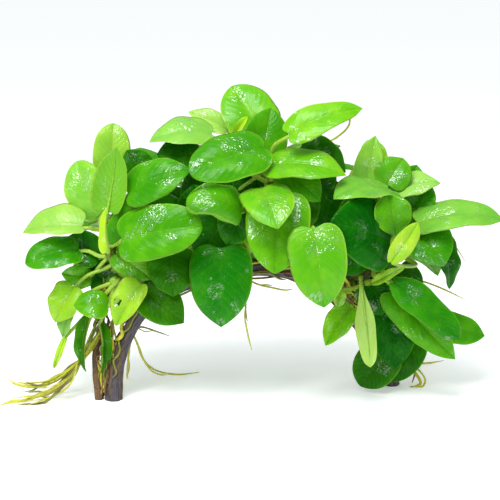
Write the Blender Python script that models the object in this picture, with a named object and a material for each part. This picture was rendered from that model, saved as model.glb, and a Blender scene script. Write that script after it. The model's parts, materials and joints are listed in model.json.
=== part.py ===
"""A small broad-leaved water plant grown over a bent piece of driftwood that stands as an arch.

The tables below are in millimetres, and MM turns them into Blender's metres. X runs along the arch,
-Y is the side with the most leaves, +Z is up and the floor is z = 0. Every leaf is one closed solid,
a round petiole that opens into a thin blade. Blades are set down from the innermost outwards, each
moved out until it is clear of those before it, and then each petiole finds a clear way to a rhizome.
"""

import math
from collections import namedtuple

import bmesh
import bpy
from mathutils import Matrix, Vector
from mathutils.bvhtree import BVHTree

MM = 0.001

# Room kept between pieces that touch, and below the lowest blade
GAP = 0.4
FLOOR_ROOM = 0.3

# Edges bent more sharply than this are shaded as edges
SHARP_EDGE_DEG = 40

# Driftwood: a bark-covered branch about 7 mm thick, sawn flat at both feet
WOOD_SIDES = 9
WOOD_STEPS = 2
WOOD_RIDGES = 3
WOOD_RIDGE_HEIGHT = 0.07
WOOD_RIDGE_TURN = 1.7
WOOD_ROUTE = (
    # x, y, z and the branch's radius
    (-56.4, -11.5, 0.0, 3.7),
    (-55.4, -9.6, 10.0, 3.1),
    (-54.4, -8.0, 17.0, 3.3),
    (-52.2, -6.4, 22.5, 2.9),
    (-46.3, -4.0, 33.2, 2.9),
    (-39.0, -2.2, 40.5, 3.3),
    (-29.0, -0.5, 45.8, 3.5),
    (-17.0, 2.0, 49.5, 3.4),
    (-3.0, 4.0, 51.4, 3.7),
    (10.0, 5.5, 51.2, 3.5),
    (21.0, 7.0, 48.6, 3.6),
    (31.0, 8.6, 43.0, 3.3),
    (39.0, 10.0, 35.5, 3.4),
    (46.0, 11.0, 26.5, 3.1),
    (52.5, 10.8, 15.0, 3.1),
    (57.5, 9.0, 5.0, 3.3),
    (59.5, 8.0, 0.0, 3.8),
)

# The thin side shoot down the outside of the left leg
SPUR_SIDES = 8
SPUR_RIDGES = 2
SPUR_ROUTE = (
    (-58.6, -3.6, 29.0, 1.1),
    (-62.0, -3.6, 24.0, 1.6),
    (-63.8, -5.0, 17.0, 1.5),
    (-63.4, -8.0, 9.0, 1.7),
    (-62.2, -11.6, 0.0, 1.9),
)

# Rhizomes: stems that creep over the wood and turn up at their growing tips
RHIZOME_SIDES = 7
RHIZOME_STEPS = 2
RHIZOME_ROUTES = {
    "rhizome_left": (
        (-27.0, -3.0, 53.0, 2.3),
        (-38.0, -6.5, 49.5, 2.7),
        (-47.0, -9.5, 51.0, 2.7),
        (-54.0, -8.5, 56.0, 2.5),
        (-57.5, -5.0, 63.0, 2.1),
        (-59.0, -2.0, 71.0, 1.6),
    ),
    "rhizome_crown": (
        (-14.0, 0.5, 56.0, 2.2),
        (-4.0, 1.0, 59.5, 2.7),
        (3.0, 1.0, 67.0, 2.7),
        (6.5, 1.0, 77.0, 2.5),
        (9.0, 1.5, 87.0, 2.1),
        (12.0, 2.0, 95.0, 1.6),
    ),
    "rhizome_right": (
        (22.0, 3.5, 56.0, 2.2),
        (32.0, 3.0, 52.5, 2.7),
        (42.0, 2.0, 49.5, 2.8),
        (50.0, 0.5, 52.0, 2.6),
        (55.5, 0.5, 60.0, 2.2),
        (57.0, 2.5, 70.0, 1.7),
    ),
}

# Roots that a rhizome carries itself, fused to it: thin runners that stand clear of the leaves
RUNNERS = {
    "rhizome_crown": (
        (
            (11.0, 2.0, 93.0, 0.75),
            (20.0, 8.0, 99.0, 0.6),
            (33.0, 9.0, 104.0, 0.5),
            (39.0, 4.0, 110.0, 0.5),
            (38.6, -3.0, 116.0, 0.45),
            (34.0, -7.0, 120.0, 0.35),
        ),
    ),
    "rhizome_right": (
        (
            (56.5, 1.5, 64.0, 0.75),
            (66.0, 7.0, 66.0, 0.6),
            (76.0, 7.0, 67.0, 0.5),
            (82.0, 5.0, 63.0, 0.45),
            (88.5, 6.0, 53.5, 0.3),
        ),
        (
            (50.0, 1.0, 51.0, 0.8),
            (60.0, 8.0, 47.0, 0.65),
            (73.0, 9.0, 44.0, 0.5),
            (82.0, 8.0, 40.5, 0.45),
            (89.5, 9.0, 36.5, 0.3),
        ),
    ),
}

# Root bundles: the place where a bundle starts, its size, and the way of each root from there. A
# root that comes nearer to the floor than LYING lies on it, with its underside flattened by PRESSED.
ROOT_SIDES = 4
ROOT_STEPS = 1
LYING = 0.9
PRESSED = 0.15
ROOT_BUNDLES = {
    "roots_left": (
        (-68.5, -8.0, 17.5, 1.7),
        (
            ((-73.0, -9.0, 11.0, 0.95), (-80.0, -7.0, 7.0, 0.9), (-90.0, -4.5, 3.0, 0.8),
             (-97.0, -3.0, 3.6, 0.6), (-101.5, -1.5, 5.6, 0.4)),
            ((-74.0, -11.0, 8.5, 0.9), (-82.0, -13.0, 4.0, 0.95), (-92.0, -15.0, 1.2, 0.95),
             (-98.0, -17.0, 0.9, 0.8), (-102.0, -20.0, 0.6, 0.55)),
            ((-72.5, -12.0, 10.5, 0.75), (-77.0, -14.5, 6.0, 0.7), (-84.0, -17.5, 1.2, 0.7),
             (-90.0, -19.0, 0.7, 0.6), (-95.0, -18.5, 0.5, 0.4)),
            ((-73.5, -5.0, 12.0, 0.7), (-81.0, 0.0, 5.5, 0.65), (-89.0, 4.0, 1.0, 0.6),
             (-96.0, 6.5, 0.6, 0.4)),
            ((-74.5, -7.0, 9.0, 0.6), (-83.0, -9.5, 1.6, 0.6), (-92.5, -9.0, 0.7, 0.5),
             (-99.5, -12.5, 0.5, 0.4)),
        ),
    ),
    "roots_left_leg": (
        (-49.3, -0.2, 26.0, 1.2),
        (
            ((-47.2, 0.6, 20.0, 0.55), (-45.0, 3.0, 12.5, 0.55), (-40.5, 9.0, 6.0, 0.5),
             (-32.0, 17.0, 1.4, 0.5), (-22.0, 25.0, 0.6, 0.4)),
            ((-45.5, 1.2, 27.0, 0.5), (-39.7, 2.0, 25.0, 0.45), (-33.7, 3.0, 22.5, 0.3)),
            ((-50.5, 2.5, 19.0, 0.6), (-52.0, 8.0, 8.0, 0.55), (-53.0, 16.0, 1.0, 0.5),
             (-54.0, 24.0, 0.6, 0.4)),
        ),
    ),
    "roots_crown": (
        (-1.6, -2.2, 49.4, 1.3),
        (
            ((-4.2, -4.0, 45.0, 0.6), (-4.6, -5.2, 42.0, 0.55), (-2.4, -5.4, 38.5, 0.55),
             (-2.6, -5.0, 33.0, 0.5), (-1.3, -4.5, 25.0, 0.45), (0.3, -4.5, 18.5, 0.3)),
            ((2.5, -3.4, 46.5, 0.5), (9.0, -2.4, 44.6, 0.5), (14.0, -1.4, 43.4, 0.45),
             (17.5, 0.0, 43.6, 0.35)),
            ((-7.0, -2.6, 46.6, 0.55), (-13.0, -3.0, 45.4, 0.5), (-19.0, -3.6, 43.4, 0.4)),
        ),
    ),
    "roots_right_foot": (
        (61.4, 12.6, 15.0, 1.3),
        (
            ((65.0, 11.0, 8.0, 0.8), (68.5, 6.5, 6.0, 0.85), (71.0, 4.0, 1.6, 0.8),
             (66.5, 3.4, 0.9, 0.7)),
            ((66.0, 15.0, 9.5, 0.7), (69.5, 14.0, 4.0, 0.7), (68.0, 9.0, 0.9, 0.6)),
            ((64.0, 18.0, 9.0, 0.7), (71.0, 28.0, 3.0, 0.65), (79.0, 37.0, 0.8, 0.55),
             (86.0, 42.0, 0.6, 0.4)),
            ((60.0, 18.5, 8.0, 0.65), (58.0, 26.0, 2.0, 0.6), (55.0, 34.0, 0.6, 0.45)),
        ),
    ),
}

# The thickness of a blade, how much further its midrib stands out below, the wave along its edges,
# and the petiole's radius where it leaves the rhizome, where it leaves a shoot and at the blade
BLADE_THICKNESS = 0.7
MIDRIB = 1.6
WAVE_HEIGHT = 0.5
WAVE_TURN = 2.4
PETIOLE_ROOT_RADIUS = 1.05
PETIOLE_SHOOT_RADIUS = 0.85
PETIOLE_TOP_RADIUS = 0.75

# How wide the blade is, as a share of its width, at shares of its length, and how far back from
# there its two edges sit, which gives the heart-shaped base
BLADE_STATIONS = (
    (0.04, 0.58, 0.10),
    (0.19, 0.94, 0.08),
    (0.41, 1.00, 0.03),
    (0.66, 0.83, 0.00),
    (0.87, 0.44, 0.00),
)

# Leaf: where the blade joins its petiole, its tip, its width, the way its upper side faces, how far
# its midrib bows out, how steeply its halves fold up (or down, if less than 0), its colour, and the
# shoot that it grows from with others, if it doesn't grow from a rhizome by itself
Leaf = namedtuple("Leaf", "name base tip width facing bow fold tone shoot", defaults=("",))

# The leaves on the side that faces -Y, the innermost first
FRONT_LEAVES = (
    Leaf("inner_1", (-48, 1, 64), (-45, 5, 86), 22, (-.1, -1, .2), 1, .10, "deep", "shoot_left"),
    Leaf("inner_2", (-33, 0, 62), (-35, 3, 84), 23.1, (0, -1, .2), 1, .10, "deep", "shoot_left"),
    Leaf("inner_3", (-18, 0, 66), (-24, 3, 88), 22, (0, -1, .2), 1, .10, "deep", "shoot_left"),
    Leaf("inner_4", (-8, 6, 82), (-12, 9, 103), 22, (0, -1, .2), 1, .10, "deep", "shoot_top"),
    Leaf("inner_5", (15, 4, 70), (21, 7, 92), 22, (0, -1, .2), 1, .10, "deep", "shoot_top"),
    Leaf("inner_6", (29, 5, 66), (35, 8, 88), 22, (0, -1, .2), 1, .10, "deep", "shoot_right"),
    Leaf("inner_7", (44, 6, 64), (46, 9, 85), 22, (0, -1, .2), 1, .10, "deep", "shoot_right"),
    Leaf("inner_8", (62, 5, 60), (68, 8, 78), 19.8, (.1, -1, .2), 1, .10, "deep", "shoot_right"),
    Leaf("inner_9", (40, 8, 84), (45, 12, 105), 20, (0, -1, .2), 1, .10, "mature", "shoot_right"),
    Leaf("inner_10", (62, 9, 78), (69, 13, 95), 18, (0, -1, .2), 1, .10, "mature",
         "shoot_back_6"),
    Leaf("fill_top_4", (-10, 18, 107), (-26, 22, 114), 12.1, (-.1, -.7, .7), 1, .25, "young",
         "shoot_top"),
    Leaf("leaf_top_tallest", (4, 8, 107), (-8, 20, 125), 22.6, (.1, -.9, .4), 1, .10, "fresh"),
    Leaf("leaf_right_top_upright", (52, 14, 91), (48, 20, 103), 12.1, (0, -.9, .4), 1, .20, "fresh"),
    Leaf("leaf_left_top_upright", (-57, 4, 92), (-56, 8, 111), 15.4, (.1, -1, .2), 1, .20, "fresh"),
    Leaf("fill_top_1", (-22, 2, 98), (-40, 0, 100), 15.4, (0, -.8, .5), 1, .15, "deep", "shoot_top"),
    Leaf("fill_top_2", (4, 5, 97), (8, 11, 117), 19.8, (.2, -.9, .3), 1, .10, "mature", "shoot_top"),
    Leaf("fill_top_3", (20, -2, 103), (38, -5, 93), 15.4, (.2, -.8, .5), 2, .15, "deep", "shoot_top"),
    Leaf("fill_top_5", (-7, 8, 106), (-2, 10, 113), 8.8, (0, -.9, .4), .5, .30, "young",
         "shoot_top"),
    Leaf("leaf_top_left_long", (-16, 4, 107), (-41, 0, 105), 17.6, (-.1, -.5, .85), 3, .20, "mature"),
    Leaf("fill_left_1", (-44, 4, 91), (-51, 6, 101), 13.2, (0, -.9, .4), 1, .15, "deep", "shoot_left"),
    Leaf("fill_left_2", (-62, -2, 57), (-77, 3, 66), 15.4, (0, -.9, .4), 1, .20, "deep", "shoot_left"),
    Leaf("fill_left_3", (-54, -5, 60), (-40, -9, 50), 15.4, (0, -.9, .4), 1, .15, "mature",
         "shoot_left"),
    Leaf("fill_right_1", (56, -10, 69), (53, -12, 86), 17.6, (0, -1, .2), 1, .15, "mature",
         "shoot_right"),
    Leaf("fill_right_2", (66, 5, 76), (73, 9, 88), 15.4, (0, -.8, .5), 1, .15, "mature",
         "shoot_back_6"),
    Leaf("fill_right_3", (57, 6, 83), (77, 6, 87), 14.3, (0, -.5, .85), 2, .15, "fresh",
         "shoot_right"),
    Leaf("leaf_top_spear", (15, -2, 107), (44, 4, 117), 17.6, (0, -.65, .75), 2.5, .20, "fresh"),
    Leaf("leaf_top_right_small", (13, -8, 94), (27, -18, 84), 16.5, (0, -.8, .6), 1.5, .15, "mature"),
    Leaf("fill_centre_1", (-11, -9, 75), (-22, -12, 57), 20.9, (0, -1, .2), 1, .10, "deep",
         "shoot_centre"),
    Leaf("fill_centre_2", (-4, -8, 80), (-9, -10, 64), 16.5, (0, -1, .2), 1, .10, "deep",
         "shoot_centre"),
    Leaf("fill_centre_3", (-4, -10, 68), (-1, -12, 58), 6.6, (0, -1, .1), .5, .30, "young",
         "shoot_centre"),
    Leaf("fill_right_4", (55, 10, 85), (62, 16, 95), 15.4, (0, -.9, .4), 1, .15, "fresh",
         "shoot_right"),
    Leaf("fill_low_1", (49, -11, 48), (53, -13, 34), 15.4, (0, -1, .2), 1, .12, "deep",
         "shoot_right_low"),
    Leaf("fill_low_2", (57, -5, 38), (59, -9, 12), 18.7, (0, -1, .1), 1, .12, "deep",
         "shoot_right_low"),
    Leaf("fill_low_3", (36, -9, 45), (35, -11, 38), 5.5, (0, -1, .1), .5, .50, "young",
         "shoot_right_low"),
    Leaf("leaf_right_floor_left", (56, -2, 18), (45, -4, 3), 18.7, (-.1, -1, .2), 1, .12, "deep"),
    Leaf("leaf_right_floor", (68, 4, 21), (56, 1, 3), 16.5, (.1, -1, .2), 1, .12, "deep"),
    Leaf("leaf_right_far_low", (76, 3, 30), (97, 4, 25), 16.5, (.1, -.8, .5), 1, .12, "deep"),
    Leaf("leaf_right_centre_large", (55, -10, 66), (28, -28, 78), 28.6, (-.15, -.9, .45), 3, .05,
         "deep"),
    Leaf("leaf_right_top_pale", (55, -6, 86), (32, -22, 86), 19.8, (0, -.35, .95), 3, .15, "mature"),
    Leaf("leaf_top_right_flat", (7, -12, 97), (37, -20, 95), 18.7, (0, -.55, .85), 3, .15, "fresh"),
    Leaf("leaf_top_left_glossy", (-49, -12, 86), (-24, -14, 96), 18.7, (0, -.75, .7), 2, .15,
         "mature"),
    Leaf("leaf_top_centre_large", (5, -12, 104), (-24, -22, 96), 22, (0, -.8, .7), 2, .12,
         "mature"),
    Leaf("leaf_centre_low_dark", (-32, -13, 63), (-31, -20, 46), 20.9, (0, -1, .2), 1, .10, "deep"),
    Leaf("leaf_centre_curled", (-4, -20, 83), (-25, -25, 89), 19.8, (0, -.75, .7), 5, -.20,
         "mature"),
    Leaf("leaf_left_dark_upright", (-54, -9, 66), (-42, -10, 86), 17.6, (-.1, -.95, .3), 1, .20,
         "deep"),
    Leaf("leaf_left_glossy", (-61, 0, 75), (-71, 4, 96), 19.8, (-.5, -.85, .35), 2, .20, "mature"),
    Leaf("leaf_left_dark", (-70, -4, 61), (-91, -10, 57), 15.4, (-.2, -.75, .7), 2, .20, "deep"),
    Leaf("leaf_left_pale", (-68, -6, 71), (-93, -2, 68), 17.6, (-.2, -.6, .8), 2, .25, "fresh"),
    Leaf("leaf_left_lime_upright", (-57, -12, 79), (-53, -8, 105), 16.5, (.3, .95, .2), 1, -.50,
         "fresh"),
    Leaf("leaf_left_rolled", (-57, -13, 63), (-57, -14, 81), 5, (-.6, -.8, .1), .5, .70,
         "young"),
    Leaf("leaf_left_low_mature", (-58, -13, 40), (-72, -15, 41), 13.2, (0, -.8, .6), 1.5, .20,
         "mature"),
    Leaf("leaf_left_far_lime", (-72, -6, 46), (-80, -9, 32), 14.3, (-.3, -1, .2), 1, .30, "young"),
    Leaf("fill_hanging_1", (-66, -6, 33), (-68, -9, 11), 8.8, (-.8, -.7, 0), 1.5, .60, "mature",
         "shoot_left_low"),
    Leaf("fill_hanging_2", (-59, -9, 31), (-59, -12, 11), 8.8, (.8, -.7, 0), 1.5, .60, "mature",
         "shoot_left_low"),
    Leaf("fill_hanging_3", (-73, -5, 38), (-77, -7, 24), 7.7, (-.6, -.8, .1), 1, .40, "deep",
         "shoot_left_low"),
    Leaf("leaf_left_low_dark", (-44, -10, 47), (-27, -17, 34), 17.6, (.1, -1, .3), 1, .15, "deep"),
    Leaf("leaf_left_front_lime", (-44, -17, 50), (-54, -22, 34), 16.5, (-.1, -1, .15), 1, .20,
         "young"),
    Leaf("leaf_centre_large_dark", (-12, -18, 65), (-12, -24, 34), 25.3, (0, -1, .1), 1, .08,
         "deep"),
    Leaf("leaf_front_largest", (-51, -20, 69), (-19, -26, 76), 22.6, (-.1, -.9, .5), 2, .15,
         "mature"),
    Leaf("leaf_centre_mature", (11, -18, 86), (9, -32, 58), 25.3, (0, -1, .25), 2, .12, "mature"),
    Leaf("leaf_centre_heart", (4, -14, 88), (10, -36, 77), 20.9, (0, -.6, .8), 2.5, .10, "mature"),
    Leaf("leaf_centre_right_heart", (24, -28, 75), (28, -34, 45), 22.6, (0, -1, .15), 1.5, .10,
         "fresh"),
    Leaf("leaf_right_low_mature", (56, -8, 48), (83, -10, 25), 19.8, (.2, -.8, .6), 2, .15,
         "mature"),
    Leaf("leaf_right_edge_dark", (76, 5, 67), (82, 1, 42), 15.4, (.75, -.65, .2), 2, .20, "deep"),
    Leaf("leaf_right_round_dark", (68, -5, 69), (77, -15, 57), 19.8, (0, -.8, .6), 2, .12, "deep"),
    Leaf("leaf_right_long", (67, -4, 72), (102, -6, 74), 19.8, (0, -.45, .9), 4, .15, "fresh"),
    Leaf("leaf_right_low_bright", (54, -14, 46), (80, -20, 19), 18.7, (-.3, -.9, .4), 1.5, .20,
         "fresh"),
    Leaf("fill_low_4", (49, -15, 50), (62, -19, 58), 4.4, (0, -.9, .5), .5, .60, "young",
         "shoot_right_low"),
    Leaf("leaf_right_young_lime", (54, -20, 60), (64, -22, 76), 11, (.1, -1, .1), .5, .25,
         "young"),
    Leaf("leaf_right_light_folded", (41, -6, 37), (30, -12, 23), 14.3, (-.3, -.9, .3), 1, .35,
         "young"),
    Leaf("leaf_right_pale_hanging", (44, -18, 49), (48, -22, 17), 9.9, (.3, .9, 0), 1, -.40,
         "fresh"),
)

# The leaves on the far side, all from shoots, the innermost first
BACK_LEAVES = (
    Leaf("back_1", (-50, 12, 56), (-58, 26, 40), 22, (-.2, 1, .3), 1.5, .12, "deep", "shoot_back_1"),
    Leaf("back_2", (-34, 12, 60), (-34, 26, 44), 23.1, (0, 1, .3), 1.5, .12, "deep", "shoot_back_1"),
    Leaf("back_3", (-40, 16, 76), (-46, 36, 68), 20.9, (-.1, .8, .6), 2, .15, "mature",
         "shoot_back_1"),
    Leaf("back_19", (-60, 10, 52), (-74, 18, 38), 19.8, (-.5, .8, .3), 1.5, .15, "mature",
         "shoot_back_1"),
    Leaf("back_4", (-56, 12, 70), (-75, 24, 62), 20.9, (-.5, .8, .4), 2, .15, "mature",
         "shoot_back_2"),
    Leaf("back_5", (-52, 12, 88), (-62, 29, 85), 19.8, (-.2, .6, .8), 2, .15, "fresh",
         "shoot_back_2"),
    Leaf("back_6", (-40, 14, 94), (-34, 33, 92), 22, (.1, .6, .8), 2, .15, "mature",
         "shoot_back_2"),
    Leaf("back_20", (-28, 15, 84), (-26, 34, 78), 23.1, (0, .8, .5), 2, .12, "mature",
         "shoot_back_2"),
    Leaf("back_7", (-4, 14, 62), (-6, 26, 38), 22, (0, 1, .2), 1.5, .12, "deep", "shoot_back_3"),
    Leaf("back_8", (-16, 14, 76), (-20, 34, 64), 24.2, (0, .9, .4), 2, .12, "mature",
         "shoot_back_3"),
    Leaf("back_9", (6, 15, 80), (4, 37, 70), 24.2, (0, .9, .4), 2, .12, "mature", "shoot_back_3"),
    Leaf("back_21", (-20, 13, 60), (-24, 22, 40), 20.9, (0, 1, .2), 1.5, .12, "deep",
         "shoot_back_3"),
    Leaf("back_10", (-14, 16, 97), (-18, 37, 93), 22, (0, .6, .8), 2, .15, "mature",
         "shoot_back_4"),
    Leaf("back_11", (5, 18, 102), (10, 39, 98), 22, (0, .6, .8), 2, .15, "fresh", "shoot_back_4"),
    Leaf("back_12", (22, 14, 98), (34, 33, 95), 20.9, (.2, .6, .8), 2, .15, "mature",
         "shoot_back_4"),
    Leaf("back_13", (24, 16, 60), (22, 30, 36), 22, (0, 1, .2), 1.5, .12, "deep", "shoot_back_5"),
    Leaf("back_14", (28, 16, 80), (27, 38, 70), 24.2, (0, .9, .4), 2, .12, "mature",
         "shoot_back_5"),
    Leaf("back_15", (42, 18, 90), (47, 38, 85), 20.9, (.1, .7, .7), 2, .15, "mature",
         "shoot_back_5"),
    Leaf("back_22", (10, 15, 62), (9, 24, 42), 19.8, (0, 1, .2), 1.5, .12, "deep",
         "shoot_back_5"),
    Leaf("back_16", (48, 18, 62), (54, 38, 46), 23.1, (.2, .95, .3), 1.5, .12, "deep",
         "shoot_back_6"),
    Leaf("back_17", (64, 16, 56), (82, 27, 42), 20.9, (.5, .7, .5), 2, .15, "mature",
         "shoot_back_6"),
    Leaf("back_23", (42, 17, 76), (42, 37, 66), 22, (.1, .9, .4), 2, .12, "mature",
         "shoot_back_6"),
    Leaf("back_24", (52, 14, 50), (62, 24, 30), 19.8, (.3, 1, .1), 1.5, .15, "deep",
         "shoot_back_6"),
    Leaf("back_18", (58, 18, 80), (74, 33, 77), 20.9, (.4, .6, .7), 2, .15, "fresh",
         "shoot_back_6"),
)

# The way a blade is moved until it is clear, and the longest such move
FRONT_PUSH = Vector((0.0, -0.974, 0.225))
BACK_PUSH = Vector((0.0, 0.97, 0.24))
PUSH_STEP = 0.5
LONGEST_PUSH = 22.0

# Shoots: the short stub that their leaves share, how deep in it the petioles start, the number of
# ways out of it that are tried, and the least angle between two petioles
SHOOT_RADIUS = 2.3
SHOOT_DEPTH = 0.5
SHOOT_WAYS = 90
SHOOT_SPREAD_DEG = 42

# Petiole routes that are tried: the way out of the rhizome, how far along its length the petiole
# keeps that way, and how the petiole comes up to the blade: along the midrib, the blade's normal
# and its side. NUDGES are the moves of the blade that are tried where no route is clear.
AROUND = 10
START_STEPS = 5
REACHES = ((0.35, 0.35), (0.6, 0.3), (0.3, 0.6), (0.8, 0.6), (1.1, 0.3), (0.3, 1.0))
ARRIVALS = ((0.6, 0.6, 0.0), (0.9, 0.25, 0.0), (0.2, 0.9, 0.0), (1.0, -0.1, 0.0), (0.6, 0.5, 0.5),
            (0.6, 0.5, -0.5))
PETIOLE_STEPS = 3
SHOOT_PETIOLE_STEPS = 2
MOST_STARTS = 260
NUDGES = ((0, 0, 0), (0, -2, 0), (0, 2, 0), (2, 0, 0), (-2, 0, 0), (0, 0, 2), (0, 0, -2),
          (0, -4, 1), (4, 0, 0), (-4, 0, 0), (0, 4, 0), (0, 0, 4), (3, -3, 2), (-3, -3, 2))
BEND_COST = 6.0
ABOVE_COST = 15.0

COLOURS = {
    # base colour, roughness, metallic
    "leaf_young": ((0.50, 0.68, 0.06, 1.0), 0.35, 0.0),
    "leaf_fresh": ((0.22, 0.50, 0.05, 1.0), 0.32, 0.0),
    "leaf_mature": ((0.09, 0.34, 0.02, 1.0), 0.28, 0.0),
    "leaf_deep": ((0.03, 0.17, 0.01, 1.0), 0.30, 0.0),
    "driftwood": ((0.12, 0.09, 0.10, 1.0), 0.85, 0.0),
    "rhizome": ((0.20, 0.24, 0.05, 1.0), 0.60, 0.0),
    "root": ((0.50, 0.42, 0.10, 1.0), 0.60, 0.0),
}


def clear_scene():
    for obj in list(bpy.data.objects):
        bpy.data.objects.remove(obj, do_unlink=True)


def material(name):
    found = bpy.data.materials.get(name)
    if found:
        return found
    colour, roughness, metallic = COLOURS[name]
    made = bpy.data.materials.new(name)
    made.use_nodes = True
    shader = made.node_tree.nodes["Principled BSDF"]
    shader.inputs["Base Color"].default_value = colour
    shader.inputs["Roughness"].default_value = roughness
    shader.inputs["Metallic"].default_value = metallic
    return made


def loft(rings, tip=None):
    """One closed skin over the rings in turn, ending in a flat cap or in the point tip."""
    bm = bmesh.new()
    root = end = bm.faces.new([bm.verts.new(point * MM) for point in rings[0]])
    for ring in rings[1:]:
        grown = bmesh.ops.extrude_face_region(bm, geom=[end])["geom"]
        if end is not root:
            bm.faces.remove(end)
        end = next(item for item in grown if isinstance(item, bmesh.types.BMFace))
        for vert, point in zip(end.verts, ring):
            vert.co = point * MM
    if tip is not None:
        bmesh.ops.poke(bm, faces=[end])["verts"][0].co = tip * MM
    bmesh.ops.triangulate(bm, faces=bm.faces)
    bmesh.ops.recalc_face_normals(bm, faces=bm.faces)
    if bm.calc_volume(signed=True) < 0:
        bmesh.ops.reverse_faces(bm, faces=bm.faces)
    return bm


def object_of(name, bm, slot):
    mesh = bpy.data.meshes.new(name)
    bm.to_mesh(mesh)
    bm.free()
    mesh.materials.append(material(slot))
    mesh.shade_smooth()
    mesh.set_sharp_from_angle(angle=math.radians(SHARP_EDGE_DEG))
    obj = bpy.data.objects.new(name, mesh)
    bpy.context.scene.collection.objects.link(obj)
    return obj


def skin_tree(rings, tip=None):
    """The same skin as loft's, in millimetres, in the form that answers whether it meets another."""
    points = [point for ring in rings for point in ring]
    size = len(rings[0])
    faces = [tuple(range(size)), tuple(len(points) - 1 - i for i in range(size))]
    for row in range(len(rings) - 1):
        for i in range(size):
            j = (i + 1) % size
            faces.append((row * size + i, row * size + j, (row + 1) * size + j, (row + 1) * size + i))
    if tip is not None:
        last = len(points) - size
        points.append(tip)
        faces += [(last + i, last + (i + 1) % size, len(points) - 1) for i in range(size)]
    return BVHTree.FromPolygons(points, faces)


def middle_of(ring):
    return sum(ring, Vector()) / len(ring)


def box_of(rings, tip=None):
    points = [point for ring in rings for point in ring] + ([tip] if tip is not None else [])
    low = Vector([min(point[axis] for point in points) for axis in range(3)])
    high = Vector([max(point[axis] for point in points) for axis in range(3)])
    return low, high


class Placed:
    """What stands already, kept for the test whether a new piece is clear of it."""

    def __init__(self):
        self.pieces = []

    def add(self, owner, rings, tip=None):
        self.pieces.append((owner, *box_of(rings, tip), skin_tree(rings, tip)))

    def take_out(self, owner):
        self.pieces = [piece for piece in self.pieces if piece[0] != owner]

    def meets(self, rings, tip=None):
        low, high = box_of(rings, tip)
        tree = skin_tree(rings, tip)
        for _, other_low, other_high, other in self.pieces:
            apart = any(low[k] > other_high[k] or high[k] < other_low[k] for k in range(3))
            if not apart and tree.overlap(other):
                return True
        return False


def smooth_route(route, steps):
    """Points and radii on a smooth curve through the route's own points."""
    ends = [Vector(row) for row in route]
    padded = [2 * ends[0] - ends[1], *ends, 2 * ends[-1] - ends[-2]]
    curve = []
    for before, start, end, after in zip(padded, padded[1:], padded[2:], padded[3:]):
        for step in range(steps):
            t = step / steps
            curve.append(
                0.5 * (2 * start + (end - before) * t
                       + (2 * before - 5 * start + 4 * end - after) * t ** 2
                       + (3 * start - before - 3 * end + after) * t ** 3)
            )
    curve.append(ends[-1])
    return [(Vector(row[:3]), row[3]) for row in curve]


def frames_along(points):
    """For each point the two directions across the curve, turned as little as possible on the way."""
    last = len(points) - 1
    tangents = [(points[min(i + 1, last)] - points[max(i - 1, 0)]).normalized()
                for i in range(len(points))]
    side = tangents[0].orthogonal().normalized()
    frames = []
    for tangent in tangents:
        side = (side - tangent * side.dot(tangent)).normalized()
        frames.append((side, tangent.cross(side), tangent))
    return frames


def tube_rings(curve, sides, ridges=0, ridge_height=0.0, grow=0.0):
    """Rings round a curve of (point, radius), with ridges along it if asked."""
    rings = []
    for row, ((centre, radius), (side, up, _)) in enumerate(
        zip(curve, frames_along([point for point, _ in curve]))
    ):
        ring = []
        for i in range(sides):
            turn = 2 * math.pi * i / sides
            swell = 1 + ridge_height * math.cos(ridges * turn + WOOD_RIDGE_TURN * row)
            reach = radius * swell + grow
            ring.append(centre + reach * (math.cos(turn) * side + math.sin(turn) * up))
        rings.append(ring)
    return rings


def on_floor(ring, height=0.0):
    return [Vector((point.x, point.y, height)) for point in ring]


def driftwood(placed):
    curve = smooth_route(WOOD_ROUTE, WOOD_STEPS)
    rings = tube_rings(curve, WOOD_SIDES, WOOD_RIDGES, WOOD_RIDGE_HEIGHT)
    rings[0] = on_floor(rings[0])
    rings[-1] = on_floor(rings[-1])
    placed.add("driftwood_arch", rings)
    object_of("driftwood_arch", loft(rings), "driftwood")
    curve = smooth_route(SPUR_ROUTE, WOOD_STEPS)
    rings = tube_rings(curve, SPUR_SIDES, SPUR_RIDGES, WOOD_RIDGE_HEIGHT)
    rings[-1] = on_floor(rings[-1])
    placed.add("driftwood_side_shoot", rings)
    object_of("driftwood_side_shoot", loft(rings), "driftwood")


def joined(name, pieces, slot, solver="EXACT"):
    """One solid from overlapping closed skins."""
    first = object_of(name, pieces[0], slot)
    for number, piece in enumerate(pieces[1:], 1):
        other = object_of(f"{name}_joined_{number}", piece, slot)
        other.hide_render = True
        other.hide_viewport = False
        other.display_type = "WIRE"
        union = first.modifiers.new(f"join_{number}", "BOOLEAN")
        union.operation = "UNION"
        union.solver = solver
        union.object = other
    return first


def laid(ring):
    """The ring, set down flat on the floor if it comes near to it."""
    lowest = min(point.z for point in ring)
    if lowest > LYING:
        return ring
    return [Vector((point.x, point.y, max(point.z - lowest - PRESSED, 0.0))) for point in ring]


def root_skin(owner, route, placed):
    """A root that tapers along its route to a point."""
    curve = smooth_route(route, ROOT_STEPS)
    rings = [laid(ring) for ring in tube_rings(curve, ROOT_SIDES)[:-1]]
    tip = laid([curve[-1][0]])[0]
    placed.add(owner, rings, tip)
    return loft(rings, tip)


def rhizomes(placed):
    """The creeping stems, with the runners that they carry."""
    for name, route in RHIZOME_ROUTES.items():
        curve = smooth_route(route, RHIZOME_STEPS)
        rings = tube_rings(curve, RHIZOME_SIDES)
        placed.add(name, rings)
        skins = [loft(rings)]
        for runner in RUNNERS.get(name, ()):
            skins.append(root_skin(name, runner, placed))
        joined(name, skins, "rhizome")


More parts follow.
